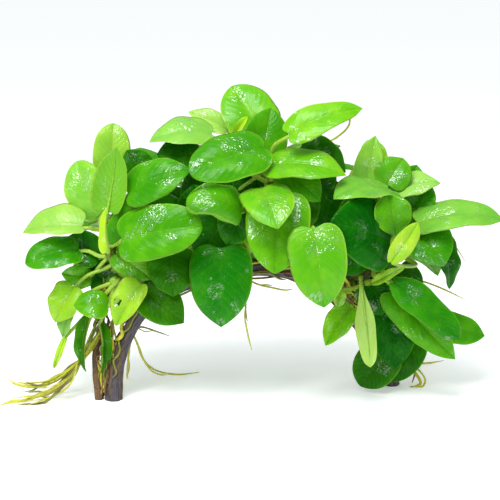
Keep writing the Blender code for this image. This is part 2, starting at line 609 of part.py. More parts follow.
def ball_rings(centre, radius, rows=3, sides=6):
    """A ball as rings from pole to pole, with small flat poles."""
    rings = []
    for row in range(rows + 1):
        angle = math.pi * (0.12 + 0.76 * row / rows)
        level = centre + Vector((0, 0, radius * math.cos(angle)))
        reach = radius * math.sin(angle)
        rings.append([
            level + reach * Vector((math.cos(2 * math.pi * i / sides),
                                    math.sin(2 * math.pi * i / sides), 0))
            for i in range(sides)
        ])
    return rings


def roots(placed):
    for name, (start, ways) in ROOT_BUNDLES.items():
        hub = Vector(start[:3])
        rings = ball_rings(hub, start[3])
        placed.add(name, rings)
        skins = [loft(rings)]
        for way in ways:
            skins.append(root_skin(name, ((*hub, way[0][3]), *way), placed))
        joined(name, skins, "root")


class Blade:
    """A leaf's blade at one place: its frame and its rings."""

    def __init__(self, leaf, number):
        self.leaf = leaf
        self.number = number
        self.base = Vector(leaf.base)
        self.along = Vector(leaf.tip) - self.base
        self.length = self.along.length
        self.along.normalize()
        facing = Vector(leaf.facing)
        self.normal = (facing - self.along * facing.dot(self.along)).normalized()
        self.side = self.along.cross(self.normal)

    def clear(self, placed):
        """Whether the blade keeps its room from what stands, and from the floor."""
        lowest = box_of(self.rings())[0].z
        return lowest >= FLOOR_ROOM and not placed.meets(self.room(), self.tip(GAP))

    def tip(self, grow=0.0):
        return self.base + self.along * (self.length + grow)

    def point(self, share, across, back=0.0, grow=0.0):
        """A point of the blade's middle surface: share of its length, and -1 to 1 across it."""
        leaf = self.leaf
        half = abs(across) * (leaf.width / 2)
        slope = math.hypot(1, leaf.fold)
        wave = WAVE_HEIGHT * math.sin(2 * math.pi * share + WAVE_TURN * self.number) * across
        lift = leaf.bow * 4 * share * (1 - share) + half * leaf.fold / slope + wave
        reach = math.copysign(half / slope + (grow if across else 0.0), across)
        return (self.base + self.along * (share * self.length - back * self.length * abs(across))
                + self.side * reach + self.normal * lift)

    def rings(self):
        """Four points to a ring: an edge, the midrib's top, the other edge and the midrib's back."""
        made = []
        for share, width, back in BLADE_STATIONS:
            left, middle, right = (self.point(share, across * width, back) for across in (-1, 0, 1))
            top = self.normal * BLADE_THICKNESS / 2
            made.append([left, middle + top, right, middle - top * MIDRIB])
        return made

    def room(self):
        """Rings of the space that the blade needs, with GAP all round it."""
        made = []
        thick = self.normal * (BLADE_THICKNESS / 2 + GAP)
        edge = self.normal * GAP
        for share, width, back in BLADE_STATIONS:
            left, middle, right = (
                self.point(share, across * width, back, GAP) for across in (-1, 0, 1)
            )
            made.append([left - edge, left + edge, middle + thick,
                         right + edge, right - edge, middle - thick])
        return made


def set_down(leaves, push, placed):
    """Moves each blade out until it is clear of those that stand already."""
    blades = []
    for number, leaf in enumerate(leaves):
        blade = Blade(leaf, number)
        moved = 0.0
        while not blade.clear(placed):
            if moved > LONGEST_PUSH:
                raise ValueError(f"{leaf.name} finds no clear place")
            blade.base = blade.base + push * PUSH_STEP
            moved += PUSH_STEP
        placed.add(leaf.name + "_blade", blade.rings(), blade.tip())
        blades.append(blade)
    return blades


def bezier(start, first, second, end, steps):
    points = []
    for step in range(steps + 1):
        t = step / steps
        points.append(start * (1 - t) ** 3 + first * 3 * t * (1 - t) ** 2
                      + second * 3 * t * t * (1 - t) + end * t ** 3)
    return points


def starts_on(routes):
    """Each place on a stem where a petiole may start, with its way out."""
    found = []
    for route in routes.values():
        curve = smooth_route(route, START_STEPS)
        frames = frames_along([point for point, _ in curve])
        for (centre, radius), (side, up, _) in zip(curve, frames):
            for k in range(AROUND):
                turn = 2 * math.pi * k / AROUND
                out = math.cos(turn) * side + math.sin(turn) * up
                found.append((centre + out * (radius + GAP), out))
    return found


def routes_to(blade, starts):
    """The petiole routes worth trying, the shortest and straightest first."""
    ways = []
    nearest = sorted(starts, key=lambda way: (way[0] - blade.base).length)[:MOST_STARTS]
    for start, out in nearest:
        span = (blade.base - start).length
        for away, reach in REACHES:
            for along, rise, aside in ARRIVALS:
                arrive = (blade.along * along + blade.normal * rise + blade.side * aside).normalized()
                points = bezier(start, start + out * away * span,
                                blade.base - arrive * reach * span, blade.base,
                                SHOOT_PETIOLE_STEPS if blade.leaf.shoot else PETIOLE_STEPS)
                steps = [b - a for a, b in zip(points, points[1:])]
                length = sum(step.length for step in steps)
                sharpest = max(a.angle(b, 0.0) for a, b in zip(steps, steps[1:]))
                above = (start - blade.base).dot(blade.normal) > 0
                cost = length + BEND_COST * sharpest + (ABOVE_COST if above else 0)
                ways.append((cost, points, out, arrive))
    ways.sort(key=lambda way: way[0])
    return ways


def petiole_rings(blade, points, leave, arrive, grow=0.0):
    """Rings round the petiole whose first corner follows the blade's left edge, root end first."""
    last = len(points) - 1
    thick = PETIOLE_SHOOT_RADIUS if blade.leaf.shoot else PETIOLE_ROOT_RADIUS
    rings = []
    side = blade.side
    for i in range(last, -1, -1):
        tangent = (points[min(i + 1, last)] - points[max(i - 1, 0)]).normalized()
        if i == last:
            tangent = (arrive + blade.along).normalized()
        if i == 0:
            tangent = leave
        side = (side - tangent * side.dot(tangent)).normalized()
        up = side.cross(tangent)
        radius = thick + (PETIOLE_TOP_RADIUS - thick) * i / last + grow
        rings.append([
            points[i] + radius * (-math.cos(math.pi * k / 2) * side
                                  + math.sin(math.pi * k / 2) * up)
            for k in range(4)
        ])
    return rings[::-1]


def outside_stub(blade, rings):
    """The same rings, but for a leaf of a shoot they start where the petiole has left the stub."""
    if not blade.leaf.shoot:
        return rings
    first, second = rings[:2]
    span = (middle_of(second) - middle_of(first)).length
    share = min(0.9, (SHOOT_RADIUS * (1 - SHOOT_DEPTH) + 2 * GAP) / span)
    return [[a.lerp(b, share) for a, b in zip(first, second)], *rings[1:]]


def petiole_for(blade, starts, placed):
    """The rings of the first petiole that is clear of everything, or None."""
    own = skin_tree(blade.rings(), blade.tip())
    for _, points, leave, arrive in routes_to(blade, starts):
        rings = outside_stub(blade, petiole_rings(blade, points, leave, arrive, GAP))
        if min(point.z for ring in rings for point in ring) < GAP:
            continue
        if not placed.meets(rings) and not skin_tree(rings[:-1]).overlap(own):
            return petiole_rings(blade, points, leave, arrive)
    return None


def grow_leaf(blade, starts, placed):
    """The leaf's rings. Where no petiole finds a way, the blade is moved a little and tried again."""
    placed.take_out(blade.leaf.name + "_blade")
    home = blade.base
    for nudge in NUDGES:
        blade.base = home + Vector(nudge)
        if not blade.clear(placed):
            continue
        petiole = petiole_for(blade, starts, placed)
        if petiole:
            placed.add(blade.leaf.name, outside_stub(blade, petiole))
            placed.add(blade.leaf.name, blade.rings(), blade.tip())
            return petiole + blade.rings()
    raise ValueError(f"{blade.leaf.name} finds no way for its petiole")


def leaves(placed):
    """All leaves: those that grow singly, and then the shoots with theirs."""
    blades = set_down(FRONT_LEAVES, FRONT_PUSH, placed) + set_down(BACK_LEAVES, BACK_PUSH, placed)
    starts = starts_on(RHIZOME_ROUTES)
    shoots = {}
    for blade in blades:
        shoots.setdefault(blade.leaf.shoot, []).append(blade)
    singles = shoots.pop("")
    hubs = []
    for name, group in shoots.items():
        hub = shoot_hub(group, starts, hubs, placed)
        hubs.append(hub)
        placed.add(name, ball_rings(hub, SHOOT_RADIUS))
        skins = [loft(ball_rings(hub, SHOOT_RADIUS))]
        ways = ball_ways()
        for blade in group:
            rings = grow_leaf(blade, [(hub + way * SHOOT_RADIUS * SHOOT_DEPTH, way) for way in ways],
                              placed)
            skins.append(loft(rings, blade.tip()))
            used = middle_of(rings[0]) - hub
            ways = [way for way in ways if way.angle(used) > math.radians(SHOOT_SPREAD_DEG)]
        # EXACT drops pieces where this many petioles meet in one stub
        joined(name, skins, "leaf_" + group[0].leaf.tone, "MANIFOLD")
    for blade in singles:
        rings = grow_leaf(blade, starts, placed)
        object_of(blade.leaf.name, loft(rings, blade.tip()), "leaf_" + blade.leaf.tone)


def ball_ways():
    """Ways out of a ball, spread evenly over it by the golden angle."""
    ways = []
    for i in range(SHOOT_WAYS):
        height = 1 - 2 * (i + 0.5) / SHOOT_WAYS
        turn = i * math.pi * (3 - math.sqrt(5))
        flat = math.sqrt(1 - height * height)
        ways.append(Vector((flat * math.cos(turn), flat * math.sin(turn), height)))
    return ways


def shoot_hub(group, starts, hubs, placed):
    """The clear place on a stem that is nearest to the bases of the shoot's blades."""
    middle = sum((blade.base for blade in group), Vector()) / len(group)
    for start, out in sorted(starts, key=lambda way: (way[0] - middle).length):
        hub = start + out * SHOOT_RADIUS
        apart = all((hub - other).length > 2 * SHOOT_RADIUS + GAP for other in hubs)
        if apart and not placed.meets(ball_rings(hub, SHOOT_RADIUS + GAP / 2)):
            return hub
    raise ValueError("a shoot finds no clear place")


def centre_on_origin():
    """Sets the whole object's box squarely over the origin. The pieces that unions join count too."""
    corners = [vert.co for obj in bpy.data.objects for vert in obj.data.vertices]
    low = [min(corner[axis] for corner in corners) for axis in range(2)]
    high = [max(corner[axis] for corner in corners) for axis in range(2)]
    shift = Vector((-(low[0] + high[0]) / 2, -(low[1] + high[1]) / 2, 0))
    for obj in bpy.data.objects:
        obj.data.transform(Matrix.Translation(shift))


def main():
    clear_scene()
    placed = Placed()
    driftwood(placed)
    rhizomes(placed)
    roots(placed)
    leaves(placed)
    centre_on_origin()


main()
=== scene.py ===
"""Looks for a small broad-leaved water plant that is grown over a driftwood arch.

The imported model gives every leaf, shoot, rhizome and root as a faceted solid. Each is read back here
as what it is, a blade with its petiole or a tapering strand, and is grown again in its place with a
smooth form and its own surface. The driftwood gets its bark, and a pale studio stands round it all.
"""

from __future__ import annotations

import json
import logging
import math
import random
from collections.abc import Callable, Iterator, Sequence
from dataclasses import dataclass, field
from enum import Enum

import bmesh
import bpy
from bmesh.types import BMesh, BMVert
from bpy.types import ID, Material, Node, NodeSocket, NodeTree, Object
from mathutils import Matrix, Vector, noise

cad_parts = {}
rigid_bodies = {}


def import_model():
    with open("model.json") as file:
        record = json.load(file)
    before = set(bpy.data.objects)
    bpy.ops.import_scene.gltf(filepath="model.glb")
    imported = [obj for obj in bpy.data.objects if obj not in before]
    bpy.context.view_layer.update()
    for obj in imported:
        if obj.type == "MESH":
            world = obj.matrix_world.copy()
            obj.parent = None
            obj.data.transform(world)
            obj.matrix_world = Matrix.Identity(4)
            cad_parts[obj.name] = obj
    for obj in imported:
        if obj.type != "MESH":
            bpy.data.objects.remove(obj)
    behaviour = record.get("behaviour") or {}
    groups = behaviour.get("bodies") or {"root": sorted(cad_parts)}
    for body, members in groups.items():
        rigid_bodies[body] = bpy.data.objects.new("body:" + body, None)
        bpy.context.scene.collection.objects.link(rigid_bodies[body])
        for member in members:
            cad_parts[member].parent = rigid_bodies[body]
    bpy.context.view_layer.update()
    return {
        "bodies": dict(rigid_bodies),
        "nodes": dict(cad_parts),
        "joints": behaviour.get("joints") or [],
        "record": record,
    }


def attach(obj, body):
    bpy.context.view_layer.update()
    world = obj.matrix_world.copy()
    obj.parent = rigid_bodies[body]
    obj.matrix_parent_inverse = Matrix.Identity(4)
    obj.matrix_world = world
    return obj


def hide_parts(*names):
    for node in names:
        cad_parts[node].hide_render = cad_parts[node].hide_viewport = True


MM = 0.001

# How far down the photograph looks
SIGHT = math.radians(13)
# The points in each ring of a faceted leaf or root
RING_CORNERS = 4
# The most that the face angles at a leaf's tip add up to, and at a root's
LEAF_TIP_ANGLES = 4.6
ROOT_TIP_ANGLES = 1.0
# How fine a strand's unevenness is
STRAND_GRAIN = 700.0

log = logging.getLogger("anubias")

Colour = tuple[float, float, float]

# What the finishes read at each point of a leaf
POINT_VALUES = ("tint", "pale", "wet")


class Tone(Enum):
    """How old a leaf is, which sets its colour. The deep tone is a mature green darkened further as
    painted shade, for leaves that lie in shade inside the plant. The value is the record's material
    slot.
    """

    YOUNG = "leaf_young"
    FRESH = "leaf_fresh"
    MATURE = "leaf_mature"
    DEEP = "leaf_deep"


class ShaderTree:
    """A node tree with short ways to add and join nodes."""

    def __init__(self, tree: NodeTree) -> None:
        """Takes over an existing tree."""
        self.tree = tree

    def node(self, kind: str, **settings: object) -> Node:
        """Adds a node.

        Args:
            kind: Blender's name of the node's type, without its ShaderNode prefix.
            **settings: Properties to set on the node.

        Returns:
            The new node.
        """
        made = self.tree.nodes.new("ShaderNode" + kind)
        for key, value in settings.items():
            setattr(made, key, value)
        return made

    def join(self, source: NodeSocket, target: NodeSocket) -> None:
        """Links an output to an input."""
        self.tree.links.new(source, target)

    def put(self, target: NodeSocket, value: object) -> None:
        """Feeds an input.

        Args:
            target: The input.
            value: The socket that feeds it, or its plain value.
        """
        if isinstance(value, NodeSocket):
            self.join(value, target)
        else:
            target.default_value = value

    def feed(self, node: Node, **values: object) -> None:
        """Feeds a node's inputs.

        Args:
            node: The node.
            **values: A socket or a plain value for each input, with underscores for the spaces
                in its name.
        """
        for key, value in values.items():
            self.put(node.inputs[key.replace("_", " ")], value)

    def math(self, operation: str, *values: object, clamp: bool = False) -> NodeSocket:
        """Adds a Math node.

        Args:
            operation: The node's operation.
            *values: Numbers or sockets, one for each input.
            clamp: Whether the result is kept between 0 and 1.

        Returns:
            The result's socket.
        """
        made = self.node("Math", operation=operation, use_clamp=clamp)
        for target, value in zip(made.inputs, values):
            self.put(target, value)
        return made.outputs[0]

    def ramp(self, value: object, low: object, high: object, start: float = 0.0,
             end: float = 1.0) -> NodeSocket:
        """Maps a value smoothly from a span to another.

        Args:
            value: The socket to map.
            low: Where the span begins.
            high: Where the span ends.
            start: The result at low.
            end: The result at high.

        Returns:
            The result's socket.
        """
        made = self.node("MapRange", interpolation_type="SMOOTHSTEP")
        self.feed(made, Value=value, From_Min=low, From_Max=high, To_Min=start, To_Max=end)
        return made.outputs[0]

    def mix(self, share: object, first: object, second: object,
            blend: str = "MIX") -> NodeSocket:
        """Mixes two colours.

        Args:
            share: How much of the second colour is in the result.
            first: A colour or socket.
            second: A colour or socket.
            blend: The node's blend type.

        Returns:
            The mixed colour's socket.
        """
        made = self.node("Mix", data_type="RGBA", blend_type=blend)
        self.put(made.inputs[0], share)
        for target, value in zip(made.inputs[6:8], (first, second)):
            self.put(target, (*value, 1.0) if isinstance(value, tuple) else value)
        return made.outputs[2]

    def noise(self, place: NodeSocket, scale: float, detail: float = 3.0,
              roughness: float = 0.55, stretch: Sequence[float] = (1.0, 1.0, 1.0)
              ) -> NodeSocket:
        """Adds a noise pattern.

        Args:
            place: The coordinates that it reads.
            scale: Its scale.
            detail: How many finer layers it has.
            roughness: How strong those are.
            stretch: How the coordinates are scaled before it.

        Returns:
            The pattern's value.
        """
        mapping = self.node("Mapping")
        self.feed(mapping, Vector=place, Scale=stretch)
        made = self.node("TexNoise")
        self.feed(made, Vector=mapping.outputs["Vector"], Scale=scale, Detail=detail,
                  Roughness=roughness)
        return made.outputs["Fac"]

    def group(self, tree: NodeTree, **values: object) -> Node:
        """Places a node group.

        Args:
            tree: The group.
            **values: What feeds its inputs.

        Returns:
            The group's node.
        """
        made = self.node("Group", node_tree=tree)
        self.feed(made, **values)
        return made


class GroupLibrary:
    """The shader node groups that the finishes share, each built once.

    Attributes:
        PATCH_SCALE: The scale of the wet patches' uneven outline.
        BEAD_SCALE: The scale of the beads of water.
        RUN_SCALES: How fine the runs of water are along a blade, across it, and from leaf to leaf.
        MOTTLE_SCALES: The scales of the soft and of the fine uneven patches.
    """

    PATCH_SCALE = 150.0
    BEAD_SCALE = 1000.0
    RUN_SCALES = (30.0, 3.5, 60.0)
    MOTTLE_SCALES = (110.0, 900.0)

    def __init__(self) -> None:
        """Builds the groups."""
        self.blade = self.build_blade()
        self.mottle = self.build_mottle()
        self.film = self.build_film()

    @staticmethod
    def start(name: str, inputs: dict[str, float | None], outputs: Sequence[str]
              ) -> tuple[ShaderTree, Node, Node]:
        """Makes an empty group.

        Args:
            name: The group's name.
            inputs: Its inputs' names, each with a number, or None for a vector.
            outputs: Its outputs' names, all of them values.

        Returns:
            The tree, its input node and its output node.
        """
        tree = bpy.data.node_groups.new(name, "ShaderNodeTree")
        for key, value in inputs.items():
            kind = "NodeSocketVector" if value is None else "NodeSocketFloat"
            made = tree.interface.new_socket(key, in_out="INPUT", socket_type=kind)
            if value is not None:
                made.default_value = value
        for key in outputs:
            tree.interface.new_socket(key, in_out="OUTPUT", socket_type="NodeSocketFloat")
        return (ShaderTree(tree), tree.nodes.new("NodeGroupInput"),
                tree.nodes.new("NodeGroupOutput"))

    def build_blade(self) -> NodeTree:
        """Masks of a blade's parts, from the UV map that runs round it and along it.

        Returns:
            The group.
        """
        build, given, out = self.start(
            "blade_parts", {"UV": None, "Veins": 13.0, "Slant": 0.24},
            ("Across", "Along", "Midrib", "Lateral", "Fine", "Edge", "Below"),
        )
        parts = build.node("SeparateXYZ")
        build.join(given.outputs["UV"], parts.inputs[0])
        turn, length = parts.outputs[0], parts.outputs[1]
        half = build.math("ABSOLUTE", build.math("SUBTRACT", turn, 0.5))
        signed = build.math("SUBTRACT", 1.0, build.math("MULTIPLY", half, 4.0))
        across = build.math("ABSOLUTE", signed)
        lean = build.math("MULTIPLY", build.math("POWER", across, 1.25), given.outputs["Slant"])
        place = build.math("SUBTRACT", length, lean)
        wave = build.math("MULTIPLY", place, given.outputs["Veins"])
        finer = build.math("PINGPONG", build.math("MULTIPLY", wave, 3.7), 0.5)
        build.feed(out, Across=signed, Along=place,
                   Midrib=build.ramp(across, 0.0, 0.045, 1.0, 0.0),
                   Lateral=build.math("PINGPONG", wave, 0.5),
                   Fine=build.ramp(finer, 0.0, 0.42, 1.0, 0.0),
                   # The rim mask marks where a pale rim is painted, partly as a rim highlight.
                   Edge=build.ramp(across, 0.92, 0.99),
                   Below=build.math("GREATER_THAN", turn, 0.5))
        return build.tree

    def build_mottle(self) -> NodeTree:
        """Soft and fine uneven patches over a surface.

        Returns:
            The group.
        """
        build, given, out = self.start("mottle", {"Place": None}, ("Broad", "Fine"))
        place = given.outputs["Place"]
        broad, fine = self.MOTTLE_SCALES
        build.feed(out, Broad=build.noise(place, broad, 2.0), Fine=build.noise(place, fine))
        return build.tree

    def build_film(self) -> NodeTree:
        """A broken film of water on a blade: the runs beside its veins, its beads and its relief.

        Returns:
            The group.
        """
        build, given, out = self.start(
            "film", {"Place": None, "Along": 0.0, "Across": 0.0, "Seed": 0.0, "Wet": 0.0},
            ("Water", "Height"),
        )
        patches = build.noise(given.outputs["Place"], self.PATCH_SCALE, 2.0)
        patches = build.math("MULTIPLY_ADD", given.outputs["Wet"], 0.26, patches)
        wet = build.ramp(patches, 0.60, 0.68)
        run = build.node("CombineXYZ")
        for target, value, scale in zip(run.inputs, ("Along", "Across", "Seed"), self.RUN_SCALES):
            build.join(build.math("MULTIPLY", given.outputs[value], scale), target)
        runs = build.noise(run.outputs[0], 1.0, 2.0, 0.6)
        beads = build.noise(given.outputs["Place"], self.BEAD_SCALE, 1.0)
        streaks = build.ramp(runs, 0.47, 0.54)
        drops = build.ramp(beads, 0.58, 0.63)
        water = build.math("MULTIPLY", build.math("MAXIMUM", streaks, drops), wet)
        thin = build.math("MULTIPLY", drops, 0.12)
        build.feed(out, Water=build.math("ADD", water, thin, clamp=True),
                   Height=build.math("ADD", beads, runs))
        return build.tree


@dataclass(frozen=True)
class Finish:
    """A material's plain values.

    Attributes:
        name: The material's name.
        roughness: How rough its surface is.
    """

    name: str
    roughness: float = 0.4

    def shader(self) -> tuple[Material, ShaderTree, Node]:
        """Makes the material.

        Returns:
            The material, its tree and its Principled BSDF.
        """
        made = bpy.data.materials.new(self.name)
        made.use_nodes = True
        build = ShaderTree(made.node_tree)
        shader = made.node_tree.nodes["Principled BSDF"]
        build.feed(shader, Roughness=self.roughness)
        return made, build, shader

    @staticmethod
    def bump(build: ShaderTree, shader: Node, height: NodeSocket,
             distance: float, strength: float = 1.0, target: str = "Normal") -> None:
        """Raises the surface for one of the shader's normals.

        Args:
            build: The material's tree.
            shader: Its Principled BSDF.
            height: How high each place is, from 0 to 1.
            distance: What 1 stands for, in metres.
            strength: How much of the relief shows.
            target: The input that gets the normal.
        """
        bump = build.node("Bump")
        build.feed(bump, Strength=strength, Distance=distance, Height=height)
        build.join(bump.outputs[0], shader.inputs[target])


@dataclass(frozen=True)
class LeafFinish(Finish):
    """A wet, glossy blade with faint veins, a thin pale edge that is partly a painted rim highlight,
    and a duller underside.

    Attributes:
        upper: The upper side's main colour.
        patch: The colour of its lighter patches.
        edge: The colour of its veins and of its edge, where it is partly a painted rim highlight.
        under: The underside's colour.
        glow: How much light passes through it.
        gloss: How shiny it is where it isn't wet.
        wetness: How much of a wet patch is covered with water.
        relief: How high its veins stand.
        ripples: How high the water stands.
        pale: The colour of the painted sheen, a whitish green that stands in for the haze of light
            reflected off a leaf.
        water_roughness: How rough the water is.
        water_index: How strongly the water mirrors, as an index of refraction.
        glow_reach: How far light travels inside the blade.
        tint_light: How much lighter a leaf with the tint 1 is.
        tint_hue: How far its hue is turned, as a share of the circle. Below 0 is yellower.
    """

    upper: Colour = (0.1, 0.3, 0.02)
    patch: Colour = (0.2, 0.4, 0.04)
    edge: Colour = (0.4, 0.6, 0.1)
    under: Colour = (0.25, 0.42, 0.12)
    glow: float = 0.12
    gloss: float = 0.2
    wetness: float = 1.0
    relief: float = 0.15 * MM
    ripples: float = 0.4 * MM
    pale: Colour = (0.52, 0.78, 0.26)
    water_roughness: float = 0.05
    water_index: float = 2.2
    glow_reach: float = 2.0 * MM
    tint_light: float = 0.35
    tint_hue: float = -0.02

    def material(self, groups: GroupLibrary) -> Material:
        """Builds the material.

        Args:
            groups: The shared node groups.

        Returns:
            The material.
        """
        made, build, shader = self.shader()
        coordinates = build.node("TexCoord")
        place = coordinates.outputs["Object"]
        tint, pale, wet = (build.node("Attribute", attribute_name=name).outputs["Fac"]
                           for name in POINT_VALUES)
        parts = build.group(groups.blade, UV=coordinates.outputs["UV"]).outputs
        mottle = build.group(groups.mottle, Place=place).outputs
        film = build.group(groups.film, Place=place, Along=parts["Along"],
                           Across=parts["Across"], Seed=tint, Wet=wet).outputs
        colour = build.mix(build.ramp(mottle["Broad"], 0.38, 0.66, 0.0, 0.8), self.upper, self.patch)
        vein = build.math("MULTIPLY", parts["Fine"], 0.07)
        vein = build.math("ADD", vein, build.ramp(parts["Lateral"], 0.0, 0.14, 0.10, 0.0))
        colour = build.mix(vein, colour, self.edge)
        outer = build.ramp(build.math("ABSOLUTE", parts["Across"]), 0.55, 1.0, 0.0, 0.35)
        colour = build.mix(outer, colour, self.patch)
        colour = build.mix(build.math("MULTIPLY", parts["Midrib"], 0.14), colour, self.edge)
        under = build.mix(build.ramp(parts["Lateral"], 0.0, 0.2, 0.3, 0.0), self.under, self.edge)
        colour = build.mix(parts["Below"], colour, under)
        # Pale rim: partly the margin's own colour and partly a painted rim highlight.
        colour = build.mix(build.math("MULTIPLY", parts["Edge"], 0.6), colour, self.edge)
        # Painted sheen: the pale value whitens the colour in place of the haze of reflected light.
        colour = build.mix(pale, colour, self.pale)
        shade = build.node("HueSaturation")
        build.feed(shade, Color=colour,
                   Value=build.math("MULTIPLY_ADD", tint, self.tint_light, 1.0),
                   Hue=build.math("MULTIPLY_ADD", tint, self.tint_hue, 0.5))
        cover = build.math("MULTIPLY_ADD", parts["Below"], -0.4 * self.wetness, self.wetness)
        build.feed(shader, Base_Color=shade.outputs[0],
                   Roughness=build.math("MULTIPLY_ADD", parts["Below"], 0.2, self.roughness),
                   Coat_Weight=build.math("MULTIPLY", film["Water"], cover),
                   Coat_Roughness=self.water_roughness, Coat_IOR=self.water_index,
                   Specular_IOR_Level=self.gloss, Subsurface_Weight=self.glow,
                   Subsurface_Radius=(0.4, 1.0, 0.15), Subsurface_Scale=self.glow_reach)
        height = build.math("MULTIPLY", parts["Lateral"], 0.7)
        height = build.math("MULTIPLY_ADD", parts["Midrib"], -0.6, height)
        skin = build.math("MULTIPLY_ADD", film["Height"], 0.12, height)
        self.bump(build, shader, skin, self.relief)
        surface = build.math("MULTIPLY_ADD", height, 0.25, film["Height"])
        self.bump(build, shader, surface, self.ripples, target="Coat Normal")
        return made


@dataclass(frozen=True)
class StalkFinish(Finish):
    """A smooth petiole, root or stem whose colour shifts from one end to the other.

    Attributes:
        near: The colour of its end, or of its tip if it is a root.
        far: The colour of its other end.
        blotch: The colour of its darker spots.
        blotches: How strong those are.
        relief: How uneven its skin is.
    """

    near: Colour = (0.3, 0.5, 0.05)
    far: Colour = (0.3, 0.5, 0.05)
    blotch: Colour = (0.2, 0.15, 0.05)
    blotches: float = 0.3
    relief: float = 0.1 * MM

    def material(self, groups: GroupLibrary) -> Material:
        """Builds the material.

        Args:
            groups: The shared node groups.

        Returns:
            The material.
        """
        made, build, shader = self.shader()
        coordinates = build.node("TexCoord")
        parts = build.node("SeparateXYZ")
        build.join(coordinates.outputs["UV"], parts.inputs[0])
        mottle = build.group(groups.mottle, Place=coordinates.outputs["Object"]).outputs
        colour = build.mix(parts.outputs[1], self.near, self.far)
        spots = build.ramp(mottle["Broad"], 0.45, 0.62, 0.0, self.blotches)
        colour = build.mix(spots, colour, self.blotch)
        fine = build.ramp(mottle["Fine"], 0.35, 0.75, 1.0 - self.blotches / 2, 1.1)
        colour = build.mix(1.0, colour, fine, "MULTIPLY")
        build.feed(shader, Base_Color=colour)
        self.bump(build, shader, mottle["Fine"], self.relief)
        return made


@dataclass(frozen=True)
class BarkFinish(Finish):
    """Wet bark with streaks of a second colour that run along the branch.

    Attributes:
        main: The bark's main colour.
        streak: The colour of the streaks.
        dark: The colour of its furrows.
        share: The level of the pattern at which the streaks begin.
        relief: How deep the furrows are.
    """

    main: Colour = (0.085, 0.070, 0.092)
    streak: Colour = (0.16, 0.09, 0.035)
    dark: Colour = (0.012, 0.010, 0.010)
    share: float = 0.54
    relief: float = 0.6 * MM

    def material(self, groups: GroupLibrary) -> Material:
        """Builds the material.

        Args:
            groups: The shared node groups.

        Returns:
            The material.
        """
        made, build, shader = self.shader()
        coordinates = build.node("TexCoord")
        uv, place = coordinates.outputs["UV"], coordinates.outputs["Object"]
        mottle = build.group(groups.mottle, Place=place).outputs
        grain = build.noise(uv, 3.0, 6.0, 0.7, (9.0, 14.0, 1.0))
        streak = build.noise(uv, 2.0, 4.0, 0.6, (5.0, 4.0, 1.0))
        second = build.ramp(streak, self.share - 0.07, self.share + 0.07)
        colour = build.mix(second, self.main, self.streak)
        colour = build.mix(build.ramp(grain, 0.56, 0.36, 0.0, 0.85), colour, self.dark)
        colour = build.mix(build.ramp(mottle["Fine"], 0.55, 0.8, 0.0, 0.4), colour, self.main)
        rough = build.ramp(grain, 0.3, 0.7, self.roughness + 0.2, self.roughness)
        build.feed(shader, Base_Color=colour, Roughness=rough)
        self.bump(build, shader, build.math("MULTIPLY_ADD", mottle["Fine"], 0.3, grain),
                  self.relief, 0.8)
        return made


LEAF_FINISHES = {
    Tone.YOUNG: LeafFinish("leaf_young_lime", 0.26, (0.23, 0.50, 0.012), (0.33, 0.58, 0.02),
                           (0.50, 0.64, 0.06), (0.36, 0.58, 0.06), 0.2, 0.2),
    Tone.FRESH: LeafFinish("leaf_fresh_green", 0.22, (0.105, 0.40, 0.003), (0.19, 0.50, 0.010),
                           (0.34, 0.62, 0.04), (0.20, 0.48, 0.02), 0.16, 0.18),
    Tone.MATURE: LeafFinish("leaf_mature_green", 0.22, (0.038, 0.25, 0.001), (0.085, 0.35, 0.003),
                            (0.22, 0.50, 0.02), (0.14, 0.40, 0.03), 0.12, 0.12),
    # The deep green is darker than a leaf's own colour: painted shade for leaves that lie in shade
    # inside the plant.
    Tone.DEEP: LeafFinish("leaf_deep_green_painted_shade", 0.25, (0.006, 0.095, 0.0004), (0.020, 0.17, 0.001),
                          (0.10, 0.34, 0.01), (0.045, 0.20, 0.01), 0.08, 0.06, 0.7),
}
PETIOLE_FINISH = StalkFinish("petiole_green", 0.28, (0.17, 0.42, 0.02), (0.36, 0.60, 0.05),
                             (0.48, 0.60, 0.06), 0.35)
ROOT_FINISHES = {
    "yellow": StalkFinish("root_yellow", 0.33, (0.64, 0.62, 0.04), (0.50, 0.54, 0.03),
                          (0.38, 0.33, 0.03), 0.35),
    "olive": StalkFinish("root_olive", 0.33, (0.30, 0.34, 0.03), (0.20, 0.26, 0.02),
                         (0.12, 0.07, 0.015), 0.6),
    "brown": StalkFinish("root_brown", 0.42, (0.30, 0.145, 0.035), (0.20, 0.09, 0.022),
                         (0.04, 0.02, 0.01), 0.6),
}
RHIZOME_FINISH = StalkFinish("rhizome_green_brown", 0.4, (0.17, 0.25, 0.02), (0.20, 0.30, 0.03),
                             (0.10, 0.07, 0.012), 0.6, 0.3 * MM)
BARK_FINISH = BarkFinish("wet_bark", 0.42)
SIDE_BARK_FINISH = BarkFinish("brown_bark", 0.5, (0.13, 0.085, 0.05), (0.24, 0.11, 0.03),
                              (0.02, 0.012, 0.008), 0.5)


def vector_mm(values: Sequence[float]) -> Vector:
    """A place given in millimetres."""
    return Vector(values[:3]) * MM


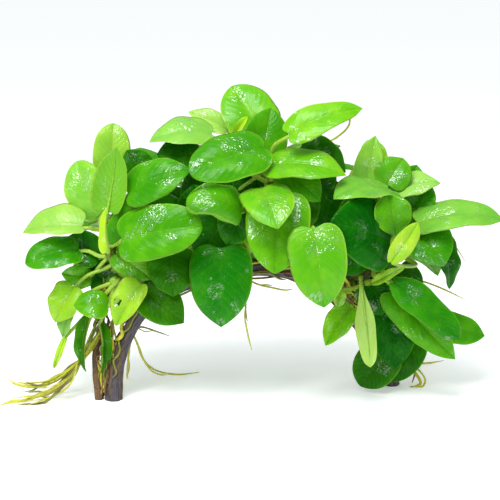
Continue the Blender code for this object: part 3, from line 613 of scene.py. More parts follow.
class Path:
    """A smooth curve through points at given shares of its way."""

    def __init__(self, shares: Sequence[float], points: Sequence[Vector]) -> None:
        """Keeps the points and works out the curve's direction at each.

        Args:
            shares: The shares, from 0 to 1.
            points: The point at each.
        """
        self.shares = list(shares)
        self.points = [Vector(point) for point in points]
        last = len(points) - 1
        self.slopes = [
            (self.points[min(i + 1, last)] - self.points[max(i - 1, 0)])
            / (self.shares[min(i + 1, last)] - self.shares[max(i - 1, 0)])
            for i in range(last + 1)
        ]

    @classmethod
    def even(cls, points: Sequence[Vector]) -> Path:
        """A path whose shares go by its length.

        Args:
            points: Its points.

        Returns:
            The path.
        """
        steps = [0.0]
        for a, b in zip(points, points[1:]):
            steps.append(steps[-1] + max((Vector(b) - Vector(a)).length, 1e-9))
        return cls([step / steps[-1] for step in steps], points)

    def at(self, share: float) -> Vector:
        """The point at a share of the way.

        Args:
            share: The share, from 0 to 1.

        Returns:
            The point.
        """
        k = 0
        while k < len(self.shares) - 2 and share > self.shares[k + 1]:
            k += 1
        span = self.shares[k + 1] - self.shares[k]
        t = (share - self.shares[k]) / span
        return (self.points[k] * (2 * t ** 3 - 3 * t * t + 1)
                + self.slopes[k] * span * (t ** 3 - 2 * t * t + t)
                + self.points[k + 1] * (3 * t * t - 2 * t ** 3)
                + self.slopes[k + 1] * span * (t ** 3 - t * t))


def number_path(shares: Sequence[float], values: Sequence[float]) -> Callable[[float], float]:
    """A smooth function that has the given values at the given shares."""
    path = Path(shares, [Vector((value, 0.0, 0.0)) for value in values])
    return lambda share: path.at(share).x


def seam_angle(turn: float, sides: int) -> float:
    """The angle of a turn round a form of so many sides, whose end meets its beginning."""
    return 2 * math.pi * (0.0 if turn > 1 - 0.5 / sides else turn)


def above_floor(point: Vector, least: float = 0.0) -> Vector:
    """The point, raised to a least height if it lies lower."""
    return Vector((point.x, point.y, max(point.z, least)))


def placed(name: str, data: ID) -> Object:
    """Adds an object to the scene.

    Args:
        name: Its name.
        data: Its mesh, light or camera.

    Returns:
        The object.
    """
    made = bpy.data.objects.new(name, data)
    bpy.context.scene.collection.objects.link(made)
    return made


def wrapped(bm: BMesh, columns: int, rows: int, place: Callable[[float, float], Vector],
            slot: int = 0) -> list[BMVert]:
    """Wraps a grid round a form and closes its seam and its ends.

    Args:
        bm: The mesh that gets the form.
        columns: Faces round the form.
        rows: Faces along the form.
        place: Gives the point at a turn from 0 to 1 and a share of the length from 0 to 1.
        slot: The material slot of the faces.

    Returns:
        The new vertices.
    """
    grid = bmesh.ops.create_grid(bm, x_segments=columns, y_segments=rows, size=0.5, calc_uvs=True,
                                 matrix=Matrix.Translation((0.5, 0.5, 0.0)))["verts"]
    faces = {face for vert in grid for face in vert.link_faces}
    for face in faces:
        face.material_index = slot
        face.smooth = True
    for vert in grid:
        vert.co = place(min(max(vert.co.x, 0.0), 1.0), min(max(vert.co.y, 0.0), 1.0))
    seam = [vert for vert in grid if vert.is_boundary]
    bmesh.ops.remove_doubles(bm, verts=seam, dist=1e-7)
    return [vert for vert in grid if vert.is_valid]


def frames_along(points: Sequence[Vector]) -> list[tuple[Vector, Vector]]:
    """The two directions across a curve at each of its points, turned as little as possible.

    Args:
        points: The curve's points.

    Returns:
        The directions at each.
    """
    last = len(points) - 1
    side = (points[1] - points[0]).orthogonal().normalized()
    frames = []
    for i in range(last + 1):
        tangent = (points[min(i + 1, last)] - points[max(i - 1, 0)]).normalized()
        side = (side - tangent * side.dot(tangent)).normalized()
        frames.append((side, tangent.cross(side)))
    return frames


def tube(bm: BMesh, points: Sequence[Vector], radii: Sequence[float], sides: int,
         steps: int, slot: int = 0, rough: float = 0.0) -> None:
    """A round strand along a smooth path, closed to a point at both ends.

    Args:
        bm: The mesh that gets the strand.
        points: The path's own points.
        radii: The strand's radius at each of them.
        sides: Faces round it.
        steps: Faces along it.
        slot: The material slot of its faces.
        rough: How uneven its radius is, as a share of it.
    """
    path = Path.even(points)
    size = number_path(path.shares, radii)
    centres = [path.at(i / steps) for i in range(steps + 1)]
    frames = frames_along(centres)

    def place(turn: float, share: float) -> Vector:
        """A point of the strand.

        Args:
            turn: How far round it is, from 0 to 1.
            share: How far along it is.

        Returns:
            The point.
        """
        row = round(share * steps)
        centre = centres[row]
        if row in (0, steps):
            return centre
        side, up = frames[row]
        angle = seam_angle(turn, sides)
        x, y = math.cos(angle), math.sin(angle)
        reach = size(share)
        reach *= 1 + rough * noise.noise(centre * STRAND_GRAIN + Vector((x, y, 0)))
        return centre + (side * x + up * y) * reach

    wrapped(bm, sides, steps, place, slot)


def merged(node: Object) -> BMesh:
    """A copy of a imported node's mesh with its loose triangles joined up.

    Args:
        node: The node.

    Returns:
        The mesh.
    """
    bm = bmesh.new()
    bm.from_mesh(node.data)
    bmesh.ops.remove_doubles(bm, verts=bm.verts, dist=1e-6)
    bm.verts.ensure_lookup_table()
    return bm


@dataclass
class Limb:
    """One limb of a node.

    Attributes:
        tip: Its pointed tip.
        rings: The rings of its skin, from the tip inwards.
    """

    tip: Vector
    rings: list[list[Vector]]

    def centres(self) -> list[Vector]:
        """The middle of each ring."""
        return [sum(ring, Vector()) / len(ring) for ring in self.rings]

    def radii(self) -> list[float]:
        """The size of each ring."""
        return [sum((point - centre).length for point in ring) / len(ring)
                for ring, centre in zip(self.rings, self.centres())]


def rings_from(start: set[BMVert], size: int) -> Iterator[list[BMVert]]:
    """The rings of vertices that follow each other, each one edge further from the start.

    Args:
        start: The vertices to start from.
        size: How many vertices each ring has.

    Yields:
        Each ring, until one of another size comes.
    """
    seen = set(start)
    front = set(start)
    while True:
        front = {edge.other_vert(vert) for vert in front for edge in vert.link_edges} - seen
        if len(front) != size:
            return
        seen |= front
        yield sorted(front, key=lambda vert: vert.index)


def limbs_of(bm: BMesh, fewest: int, sharpest: float
             ) -> tuple[list[Limb], list[Vector]]:
    """Reads a node's limbs back from its mesh.

    Args:
        bm: The node's joined mesh.
        fewest: The fewest rings that a limb has.
        sharpest: The most that the face angles at a tip add up to.

    Returns:
        The limbs, and the points that are on none of them.
    """
    found = []
    left = set(bm.verts)
    for vert in bm.verts:
        if len(vert.link_edges) != RING_CORNERS:
            continue
        if sum(loop.calc_angle() for loop in vert.link_loops) > sharpest:
            continue
        rings = list(rings_from({vert}, RING_CORNERS))
        if len(rings) < fewest:
            continue
        found.append(Limb(vert.co.copy(), [[v.co.copy() for v in ring] for ring in rings]))
        left -= {vert, *(v for ring in rings for v in ring)}
    return found, [vert.co.copy() for vert in left]


# Where the faceted blades' rings stand along them, and the share of the width that each has
STATIONS = ((0.87, 0.44), (0.66, 0.83), (0.41, 1.00), (0.19, 0.94), (0.04, 0.58))
WIDEST = 2
LEAF_RINGS = len(STATIONS) + 2
BLADE_MIDDLE_OFFSET = 0.105 * MM

# A leaf's outline from its base round a lobe to its tip: how far along the row starts at the
# midrib, how far along it ends at the edge, and its width
OUTLINE = (
    (0.00, 0.000, 0.000, 0.00),
    (0.03, 0.004, -0.022, 0.17),
    (0.07, 0.015, -0.045, 0.36),
    (0.12, 0.040, -0.040, 0.57),
    (0.17, 0.075, -0.005, 0.75),
    (0.23, 0.130, 0.060, 0.89),
    (0.30, 0.205, 0.150, 0.975),
    (0.40, 0.320, 0.290, 1.00),
    (0.50, 0.440, 0.430, 0.985),
    (0.60, 0.555, 0.560, 0.925),
    (0.70, 0.665, 0.680, 0.81),
    (0.80, 0.775, 0.795, 0.625),
    (0.88, 0.865, 0.880, 0.415),
    (0.95, 0.945, 0.952, 0.185),
    (0.985, 0.983, 0.985, 0.055),
    (1.00, 1.000, 1.000, 0.00),
)
places, *columns = zip(*OUTLINE)
midrib_share, edge_share, width_share = (number_path(places, column) for column in columns)


@dataclass(frozen=True)
class Habit:
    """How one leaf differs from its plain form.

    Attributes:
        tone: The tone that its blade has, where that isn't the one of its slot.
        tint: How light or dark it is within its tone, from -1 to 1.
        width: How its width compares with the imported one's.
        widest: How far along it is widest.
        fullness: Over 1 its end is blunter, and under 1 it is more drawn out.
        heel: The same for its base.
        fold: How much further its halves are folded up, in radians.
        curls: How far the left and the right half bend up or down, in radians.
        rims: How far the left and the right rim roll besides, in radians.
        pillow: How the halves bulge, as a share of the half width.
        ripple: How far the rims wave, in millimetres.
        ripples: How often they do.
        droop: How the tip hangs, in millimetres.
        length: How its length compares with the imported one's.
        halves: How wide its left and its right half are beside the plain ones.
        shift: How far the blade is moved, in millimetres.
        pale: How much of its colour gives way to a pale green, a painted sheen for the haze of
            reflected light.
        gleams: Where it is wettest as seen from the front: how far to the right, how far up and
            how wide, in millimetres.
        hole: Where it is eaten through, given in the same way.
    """

    tone: Tone | None = None
    tint: float | None = None
    width: float = 1.0
    widest: float = 0.4
    fullness: float = 1.0
    heel: float = 1.0
    fold: float = 0.0
    curls: tuple[float, float] = (-0.25, -0.25)
    rims: tuple[float, float] = (0.0, 0.0)
    pillow: float = 0.05
    ripple: float = 0.35
    ripples: float = 2.3
    droop: float = 0.8
    length: float = 1.0
    halves: tuple[float, float] = (1.0, 1.0)
    shift: tuple[float, float, float] = (0.0, 0.0, 0.0)
    pale: float = 0.0
    gleams: tuple[tuple[float, float, float], ...] = ()
    hole: tuple[float, float, float] | None = None

    @classmethod
    def usual(cls, chance: random.Random) -> Habit:
        """A leaf with nothing special, a little different from every other.

        Args:
            chance: Where its differences come from.

        Returns:
            Its habit.
        """
        return cls(tint=chance.uniform(-0.5, 0.5), fullness=chance.uniform(0.92, 1.12),
                   curls=(chance.uniform(-0.5, 0.1), chance.uniform(-0.5, 0.1)),
                   pillow=chance.uniform(0.02, 0.08), ripple=chance.uniform(0.2, 0.6),
                   ripples=chance.uniform(1.6, 3.2), droop=chance.uniform(0.2, 1.3),
                   length=chance.uniform(0.86, 1.03), width=chance.uniform(0.9, 1.08),
                   widest=chance.uniform(0.34, 0.46), fold=chance.uniform(-0.05, 0.3))


HABITS = {
    "leaf_front_largest": Habit(fullness=1.75, curls=(-0.3, -0.3), tint=0.0, ripple=0.3,
                                gleams=((-39.7, 70.6, 6.5), (-44.0, 66.0, 3.0))),
    "leaf_top_centre_large": Habit(fullness=1.8, heel=0.75, curls=(-0.3, -0.35), tint=-0.2,
                                   gleams=((-6.2, 103.3, 6.0), (-22.5, 91.0, 4.5))),
    "leaf_top_left_glossy": Habit(fullness=1.1, tint=-0.3,
                                  gleams=((-34.8, 91.1, 4.5), (-42.0, 94.5, 3.0))),
    "leaf_top_left_long": Habit(Tone.FRESH, -0.2, pale=0.22, gleams=((-25.8, 108.6, 4.0),)),
    "leaf_top_tallest": Habit(Tone.FRESH, -0.2, fullness=1.3, curls=(-0.1, -0.2),
                              gleams=((-7.8, 120.4, 3.0),)),
    "leaf_left_glossy": Habit(Tone.FRESH, 0.2, fullness=1.7, curls=(-0.2, -0.4), pale=0.1,
                              gleams=((-69.9, 85.3, 6.5),)),
    "leaf_left_top_upright": Habit(Tone.YOUNG, -0.4, fullness=1.6, pale=0.1,
                                   gleams=((-56.0, 105.7, 3.0),)),
    "leaf_left_dark_upright": Habit(Tone.MATURE, -0.3, fullness=1.5, shift=(-0.5, -4.0, -1.5)),
    "leaf_left_pale": Habit(Tone.YOUNG, -0.4, halves=(0.6, 1.2), pale=0.25),
    "leaf_centre_curled": Habit(rims=(-1.4, 3.4), curls=(-0.9, -0.7), pillow=0.14, ripple=1.0,
                                ripples=2.0, tint=0.1, fullness=1.8, width=1.05,
                                shift=(0.0, -2.5, -2.5), gleams=((-19.3, 77.2, 3.5),)),
    "leaf_centre_heart": Habit(Tone.FRESH, -0.2, fullness=1.1, ripple=0.3,
                               gleams=((10.9, 77.2, 6.5),)),
    "leaf_centre_right_heart": Habit(Tone.FRESH, -0.45, fullness=1.1, ripple=0.3, droop=1.2,
                                     gleams=((32.2, 64.1, 4.0), (24.8, 61.7, 4.0))),
    "leaf_left_rolled": Habit(tint=0.9, pillow=0.0, ripple=0.05, droop=0.0, curls=(0.7, 0.7),
                              width=1.3, shift=(0.0, -5.0, 0.5)),
    "leaf_right_young_lime": Habit(pillow=0.08, ripple=0.2, widest=0.52, fullness=1.1, width=0.8,
                                   shift=(1.0, 0.0, 0.0)),
    "leaf_left_front_lime": Habit(tint=-0.1, ripple=0.8, pillow=0.1, fold=0.2, halves=(0.55, 0.95),
                                  hole=(-53.2, 37.8, 1.5)),
    "leaf_left_lime_upright": Habit(Tone.FRESH, -0.6, length=0.95, fold=0.1, curls=(-0.2, -0.5)),
    "leaf_top_spear": Habit(Tone.FRESH, 0.0, width=0.86, ripple=0.5, ripples=1.5,
                            gleams=((15.8, 111.5, 4.0),)),
    "shoot_top_2": Habit(Tone.YOUNG, -0.1, width=0.8, ripple=0.3, pale=0.3),
    "shoot_top_4": Habit(Tone.YOUNG, 0.6, width=0.6, fold=0.4, curls=(0.4, 0.4), ripple=0.1,
                         shift=(0.5, -5.0, 1.0)),
    "shoot_left_4": Habit(Tone.FRESH, -0.4, width=0.8),
    "leaf_left_far_lime": Habit(pillow=0.1, ripple=0.8, tint=-0.3),
    "leaf_right_far_low": Habit(Tone.MATURE, -0.2, width=0.85, shift=(0.5, 0.0, -2.5)),
    "leaf_right_light_folded": Habit(Tone.FRESH, 0.2, fold=0.4, ripple=0.9),
    "leaf_right_pale_hanging": Habit(Tone.YOUNG, -0.2, width=0.95, widest=0.62, fullness=1.2,
                                     ripple=0.9, ripples=1.7, pale=0.3, gleams=((47.7, 25.7, 3.5),)),
    "shoot_left_low_1": Habit(Tone.MATURE, 0.2, pale=0.25),
    "shoot_left_low_2": Habit(Tone.DEEP, 0.5, width=0.9, fold=0.4),
    "shoot_left_low_3": Habit(Tone.DEEP, 0.6, width=0.75, fold=0.3, shift=(-2.0, 0.0, 0.0)),
    "leaf_right_low_bright": Habit(Tone.MATURE, 0.0, width=0.85, ripple=0.9, ripples=2.0,
                                   shift=(2.0, 6.0, -1.0)),
    "leaf_right_low_mature": Habit(Tone.MATURE, -0.8, width=0.74, widest=0.5, ripple=0.9,
                                   ripples=1.6, shift=(3.0, -5.0, 1.5)),
    "leaf_left_dark": Habit(Tone.MATURE, -0.5, fullness=1.6, gleams=((-67.4, 60.0, 4.5),)),
    "leaf_centre_mature": Habit(Tone.MATURE, 0.4, fullness=1.2,
                                gleams=((15.8, 70.6, 5.5), (4.4, 65.7, 4.0))),
    "leaf_centre_large_dark": Habit(Tone.MATURE, -1.1, fullness=1.0),
    "leaf_right_centre_large": Habit(tint=-0.7, fullness=1.35, length=0.9,
                                     gleams=((42.8, 64.9, 4.0),)),
    "leaf_right_top_pale": Habit(Tone.FRESH, -0.4, pale=0.12, gleams=((48.5, 85.7, 4.5),)),
    "leaf_right_long": Habit(Tone.FRESH, -0.3, pale=0.15, gleams=((76.0, 75.5, 6.0),)),
    "shoot_right_2": Habit(Tone.FRESH, 0.2, width=0.6, fold=0.2, pale=0.15, shift=(5.5, 0.0, 0.0)),
    "shoot_right_4": Habit(Tone.MATURE, 0.2, width=0.9, widest=0.6, fullness=1.0, ripple=0.8,
                           fold=0.3, shift=(1.0, -7.5, 1.5)),
    "shoot_right_5": Habit(Tone.FRESH, -0.6),
    "leaf_right_floor": Habit(tint=0.2),
    "leaf_right_floor_left": Habit(tint=0.3, fullness=1.4),
    "shoot_right_7": Habit(Tone.FRESH, 0.1, fullness=0.95, pale=0.3),
    "leaf_top_right_flat": Habit(Tone.FRESH, -0.15, fullness=0.95, ripple=0.3,
                                 gleams=((10.9, 94.3, 3.5), (25.6, 92.7, 3.5))),
    "leaf_left_low_dark": Habit(Tone.DEEP, 0.6, gleams=((-30.0, 49.0, 4.0),)),
    "leaf_right_round_dark": Habit(Tone.MATURE, -0.6, gleams=((68.9, 54.3, 6.0),)),
    "shoot_right_low_3": Habit(Tone.DEEP, -0.6),
}


def seen_from_front(point: Vector) -> tuple[float, float]:
    """How far to the right and up a point lies as the photograph shows it, in millimetres."""
    return point.x / MM, (point.y * math.sin(SIGHT) + point.z * math.cos(SIGHT)) / MM


@dataclass
class Blade:
    """One leaf: where its blade lies and how it is formed, and the way of its petiole.

    Attributes:
        name: Its name, which also sets what is left to chance.
        base: Where the petiole meets the blade.
        tip: The blade's tip.
        normal: The way that its upper side faces.
        half: Half its width.
        stalk: The petiole's points from the blade downwards.
        stalk_radii: The petiole's radius at each.
        fold: How far its halves are folded up, in radians.
        bow: How far its middle bows out.
        wave: The twist along the blade, as a height at the right edge for each share.
        habit: How it differs from a plain leaf.
        SECTION_STEPS: The steps in which a line across the blade is bent.
        RIM_START: How far out the rims begin to roll.
        RIPPLE_LEAN: How far the waves of the rims lean from one edge to the other, in radians.
        RIPPLE_PHASE: How fast the phase of the waves changes from leaf to leaf, in radians a metre.
        DROOP_START: How far along the tip begins to hang.
        DROOP_RATE: How steeply it hangs from there.
    """

    SECTION_STEPS = 8
    RIM_START = 0.4
    RIPPLE_LEAN = 2.1
    RIPPLE_PHASE = 900
    DROOP_START = 0.6
    DROOP_RATE = 6

    name: str
    base: Vector
    tip: Vector
    normal: Vector
    half: float
    stalk: list[Vector]
    stalk_radii: list[float]
    fold: float = 0.1
    bow: float = 1.0 * MM
    wave: Callable[[float], float] = field(default=lambda share: 0.0)
    habit: Habit | None = None

    def __post_init__(self) -> None:
        """Squares the blade's frame and settles its habit."""
        self.chance = random.Random(self.name)
        if self.habit is None:
            self.habit = HABITS.get(self.name) or Habit.usual(self.chance)
        shift = vector_mm(self.habit.shift)
        reach = (self.tip - self.base) * self.habit.length
        self.base = self.base + shift
        self.tip = self.base + reach
        self.stalk = [self.base, self.stalk[1] + shift / 2, *self.stalk[2:]]
        self.length = reach.length
        self.along = reach.normalized()
        self.normal = (self.normal - self.along * self.normal.dot(self.along)).normalized()
        self.side = self.along.cross(self.normal)
        self.half *= self.habit.width
        self.fold += self.habit.fold
        self.tint = self.habit.tint
        if self.tint is None:
            self.tint = self.chance.uniform(-0.5, 0.5)
        self.gleams = self.habit.gleams
        if not self.gleams:
            spot = self.base + reach * self.chance.uniform(0.25, 0.75)
            spot += self.side * self.half * self.chance.uniform(-0.5, 0.5)
            self.gleams = ((*seen_from_front(spot), self.chance.uniform(1.5, 4.0)),)

    def wetness(self, point: Vector) -> float:
        """How wet the blade is at a point, from 0 to 1.

        Args:
            point: The point.

        Returns:
            The wetness.
        """
        right, up = seen_from_front(point)
        return max(math.exp(-((right - x) ** 2 + (up - y) ** 2) / reach ** 2)
                   for x, y, reach in self.gleams)

    @staticmethod
    def split(ring: Sequence[Vector]) -> tuple[tuple[Vector, Vector], Vector]:
        """Sorts out a ring of a faceted blade.

        Args:
            ring: Its four points.

        Returns:
            The two edge points, and the middle of the other two.
        """
        pairs = [(a, b) for i, a in enumerate(ring) for b in ring[i + 1:]]
        ends = max(pairs, key=lambda pair: (pair[0] - pair[1]).length)
        others = [point for point in ring if point not in ends]
        return ends, (others[0] + others[1]) / 2

    @classmethod
    def from_limb(cls, limb: Limb, name: str) -> Blade:
        """Reads a leaf back from its faceted limb.

        Args:
            limb: The limb.
            name: The leaf's name.

        Returns:
            The leaf.
        """
        centres, radii = limb.centres(), limb.radii()
        base = centres[len(STATIONS)]
        reach = limb.tip - base
        along = reach.normalized()
        splits = [cls.split(ring) for ring in limb.rings[:len(STATIONS)]]
        share = STATIONS[WIDEST][0]
        away = splits[WIDEST][1] - (base + reach * share)
        normal = (away - along * away.dot(along)).normalized()
        side = along.cross(normal)
        bow = (away.dot(normal) + BLADE_MIDDLE_OFFSET) / (4 * share * (1 - share))
        waves = []
        for (place, width), (ends, middle) in zip(STATIONS, splits):
            right, left = sorted(ends, key=lambda end: -(end - middle).dot(side))
            waves.append((place, ((right - left).dot(normal)) / 2 / width))
            if place == share:
                out = (right - left).dot(side) / 2
                rise = ((right + left) / 2 - middle).dot(normal) - BLADE_MIDDLE_OFFSET
        waves = [(0.0, waves[-1][1]), *waves[::-1], (1.0, waves[0][1])]
        return cls(name, base, limb.tip, normal, math.hypot(out, rise), centres[len(STATIONS):],
                   radii[len(STATIONS):], math.atan2(rise, out), bow, number_path(*zip(*waves)))

    def section(self, out: float, width: float, curl: float, rim: float) -> tuple[float, float]:
        """How far the blade gets on a line from its midrib towards an edge.

        Args:
            out: How far out the point is, from 0 to 1.
            width: The outline's width there, as a share of the widest.
            curl: How far this half bends, in radians.
            rim: How far its rim rolls besides, in radians.

        Returns:
            How far it gets sideways and upwards, in metres.
        """
        level = rise = 0.0
        for i in range(self.SECTION_STEPS):
            share = out * (i + 0.5) / self.SECTION_STEPS
            roll = rim * max(0.0, share - self.RIM_START) / (1 - self.RIM_START)
            angle = self.fold + curl * share * width + roll
            level += math.cos(angle)
            rise += math.sin(angle)
        reach = self.half * width * out / self.SECTION_STEPS
        return level * reach, rise * reach

    def surface(self, share: float, width: float, across: float, lift: float) -> Vector:
        """A point of the blade.

        Args:
            share: How far along the blade it is.
            width: The outline's width there, as a share of the widest.
            across: From -1 at the left edge to 1 at the right edge.
            lift: How far it lies off the blade's middle surface, in metres.

        Returns:
            The point.
        """
        habit = self.habit
        out = abs(across)
        inside = min(max(share, 0.0), 1.0)
        half = 1 if across > 0 else 0
        width *= habit.halves[half]
        level, rise = self.section(out, width, habit.curls[half], habit.rims[half])
        rise += self.bow * 4 * inside * (1 - inside) + self.wave(inside) * across * width
        rise += habit.pillow * self.half * width * math.sin(math.pi * out)
        turn = 2 * math.pi * habit.ripples * share
        turn = turn + self.RIPPLE_LEAN * across + self.base.x * self.RIPPLE_PHASE
        rise += habit.ripple * MM * math.sin(turn) * across * across * min(1.0, 2.2 * width)
        rise -= habit.droop * MM * max(0.0, share - self.DROOP_START) ** 2 * self.DROOP_RATE
        return (self.base + self.along * share * self.length
                + self.side * math.copysign(level, across) + self.normal * (rise + lift))


@dataclass
class LeafGrower:
    """Grows blades with their petioles.

    Attributes:
        columns: Faces round a blade.
        rows: Faces along it.
        crowding: How much closer its rows stand near its ends.
        thickness: How thick it is in the middle.
        groove: How deep the groove over its midrib is.
        groove_width: How wide that is, as a share of the half width.
        petiole_sides: Faces round a petiole.
        petiole_steps: Faces along it.
    """

    columns: int = 40
    rows: int = 34
    crowding: float = 0.6
    thickness: float = 0.42 * MM
    groove: float = 0.20 * MM
    groove_width: float = 0.06
    petiole_sides: int = 10
    petiole_steps: int = 22

    def blade(self, bm: BMesh, leaf: Blade, slot: int) -> None:
        """Adds a blade as one closed lens-shaped form, upper side first round its turn.

        Args:
            bm: The mesh that gets it.
            leaf: The leaf.
            slot: Its material slot.
        """
        layers = bm.verts.layers.float
        power = 1 / leaf.habit.fullness
        warp = math.log(Habit.widest) / math.log(leaf.habit.widest)

        def place(turn: float, length: float) -> Vector:
            """A point of the blade's skin.

            Args:
                turn: How far round it is, from 0 to 1.
                length: How far along it is.

            Returns:
                The point.
            """
            t = length * length * (3 - 2 * length) * self.crowding + length * (1 - self.crowding)
            across = 1 - 4 * abs(turn - 0.5)
            out = abs(across)
            share = midrib_share(t) + (edge_share(t) - midrib_share(t)) * out ** 1.5
            width = max(0.0, width_share(t ** warp))
            width **= power if t > leaf.habit.widest else 1 / leaf.habit.heel
            thick = self.thickness / 2 * (1 - out ** 4)
            lift = thick if turn < 0.5 else -thick
            if turn < 0.5:
                lift -= self.groove * math.exp(-(out / self.groove_width) ** 2)
            if turn in (0.0, 0.5, 1.0) or length in (0.0, 1.0):
                lift = 0.0
            return leaf.surface(share, width, across, lift)

        skin = wrapped(bm, self.columns, self.rows, place, slot)
        turns = bm.loops.layers.uv.active
        for vert in skin:
            vert[layers["tint"]] = leaf.tint
            # The pale value paints a sheen for the haze of reflected light.
            vert[layers["pale"]] = leaf.habit.pale
            vert[layers["wet"]] = leaf.wetness(vert.co)
            for loop in vert.link_loops:
                along_rim = all(loop[turns].uv.x in (0.0, 0.5, 1.0)
                                for loop in (loop, loop.link_loop_next))
                if along_rim:
                    loop.edge.smooth = False
        if leaf.habit.hole is not None:
            self.pierce(bm, skin, leaf.habit.hole)

    @staticmethod
    def pierce(bm: BMesh, skin: Sequence[BMVert],
               hole: tuple[float, float, float]) -> None:
        """Cuts a ragged hole through both sides of a blade and closes its edge.

        Args:
            bm: The blade's mesh.
            skin: The blade's vertices.
            hole: Where it is and how wide, as a habit gives it.
        """
        right, up, reach = hole
        gone = []
        for face in {face for vert in skin for face in vert.link_faces}:
            x, y = seen_from_front(face.calc_center_median())
            if math.hypot(x - right, y - up) < reach:
                gone.append(face)
        bmesh.ops.delete(bm, geom=gone, context="FACES")
        rims = [edge for edge in bm.edges if edge.is_boundary]
        bmesh.ops.bridge_loops(bm, edges=rims)

    def petiole(self, bm: BMesh, leaf: Blade, hub: Vector | None, slot: int) -> None:
        """Adds the petiole, which runs on as the midrib below the blade.

        Args:
            bm: The mesh that gets it.
            leaf: The leaf.
            hub: Where it ends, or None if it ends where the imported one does.
            slot: Its material slot.
        """
        # The midrib's radius at each share of the blade, and how deep it lies besides, in mm
        rib, depth = ((0.90, 0.10), (0.62, 0.24), (0.34, 0.36), (0.12, 0.50)), 0.12
        centres, radii = list(leaf.stalk), list(leaf.stalk_radii)
        centres[0] = centres[0] - leaf.normal * radii[0] * 1.1
        if hub is None:
            last = (centres[-1] - centres[-2]).normalized()
            centres.append(centres[-1] + last * 1.2 * MM)
        else:
            centres.append(hub)
        radii.append(radii[-1] * 1.2)
        points = [leaf.surface(share, 0.0, 0.0, -(radius + depth) * MM) for share, radius in rib]
        sizes = [radius * MM for _, radius in rib]
        points += centres
        sizes += [radii[0] * 0.92, *(radius * 0.95 for radius in radii[1:])]
        tube(bm, points, sizes, self.petiole_sides, self.petiole_steps, slot, 0.12)


# Each shoot's leaves by their tips, from left to right: Young, Fresh, Mature or Deep
# The deep tone's darkness is partly painted shade.
SHOOT_TONES = {
    "shoot_back_1": "MDMD",
    "shoot_back_2": "MFMM",
    "shoot_back_3": "DMDM",
    "shoot_back_4": "MFM",
    "shoot_back_5": "DDMM",
    "shoot_back_6": "MDDMMFM",
    "shoot_centre": "DDY",
    "shoot_left": "DDDMDD",
    "shoot_left_low": "DMM",
    "shoot_right": "DMDMFDF",
    "shoot_right_low": "YDDY",
    "shoot_top": "DYDYMDD",
}
TONE_LETTERS = {"Y": Tone.YOUNG, "F": Tone.FRESH, "M": Tone.MATURE, "D": Tone.DEEP}

# Small leaves deep between the others: base, tip and half width in millimetres, and tone
# Most have the deep tone, whose darkness is partly painted shade.
UNDERSTOREY = {
    "rhizome_crown": (
        ((6, 8, 78), (-7, 6, 95), 8.5, "D"),
        ((14, 8, 78), (24, 7, 95), 8.5, "D"),
        ((22, 9, 80), (34, 7, 97), 8.5, "D"),
        ((-16, 6, 74), (-27, 5, 93), 8.5, "D"),
        ((-26, 5, 70), (-36, 4, 87), 8.5, "D"),
    ),
    "rhizome_left": (
        ((-58, 2, 50), (-68, 1, 62), 7.5, "D"),
        ((-56, 1, 49), (-64, -2, 36), 7.0, "D"),
        ((-50, 3, 48), (-54, 3, 34), 7.0, "D"),
        ((-55, 1, 58), (-60, 0, 44), 7.0, "D"),
        ((-61, 3, 54), (-68, 2, 44), 6.5, "M"),
        ((-66, -2, 49), (-79, -3, 51), 4.5, "F"),
        ((-76, -8, 25), (-81, -9, 12), 1.5, "Y"),
    ),
    "rhizome_right": (
        ((40, 7, 62), (27, 5, 50), 8.0, "D"),
        ((44, 6, 58), (34, 4, 44), 8.0, "D"),
        ((52, 6, 52), (46, 6, 36), 8.0, "D"),
        ((46, 8, 48), (38, 7, 32), 7.0, "D"),
        ((60, 5, 50), (70, 3, 40), 7.0, "D"),
        ((46, -3, 60), (34, -4, 50), 6.0, "D"),
    ),
}


class Plant:
    """The whole plant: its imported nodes, its materials, and the pieces that dress them."""

    def __init__(self, frame: dict[str, object]) -> None:
        """Keeps the frame and builds the finishes."""
        self.nodes: dict[str, Object] = frame["nodes"]
        self.slots = {row["node"]: row["material_slot"] for row in frame["record"]["subparts"]}
        groups = GroupLibrary()
        self.tones = list(Tone)
        self.leaf_materials = [LEAF_FINISHES[tone].material(groups) for tone in self.tones]
        self.petiole = PETIOLE_FINISH.material(groups)
        self.roots = {key: finish.material(groups) for key, finish in ROOT_FINISHES.items()}
        self.rhizome = RHIZOME_FINISH.material(groups)
        self.bark = BARK_FINISH.material(groups)
        self.side_bark = SIDE_BARK_FINISH.material(groups)

    @staticmethod
    def fresh_mesh() -> BMesh:
        """An empty mesh with the UV map and the attributes that the finishes read."""
        bm = bmesh.new()
        bm.loops.layers.uv.new("UVMap")
        for name in POINT_VALUES:
            bm.verts.layers.float.new(name)
        return bm

    def piece(self, name: str, bm: BMesh, node: str,
              materials: Sequence[Material], replaces: bool = True) -> Object:
        """Turns a finished mesh into a piece.

        Args:
            name: The piece's name.
            bm: Its mesh, which is freed.
            node: The node that it belongs to, whose material slot it has.
            materials: Its materials, in the order of its slots.
            replaces: Whether it stands for the node.

        Returns:
            The piece.
        """
        mesh = bpy.data.meshes.new(name)
        bmesh.ops.recalc_face_normals(bm, faces=bm.faces)
        bm.to_mesh(mesh)
        bm.free()
        for material in materials:
            mesh.materials.append(material)
        made = placed(name, mesh)
        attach(made, "root")
        if replaces:
            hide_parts(node)
        log.info("%s: %d faces", name, len(mesh.polygons))
        return made


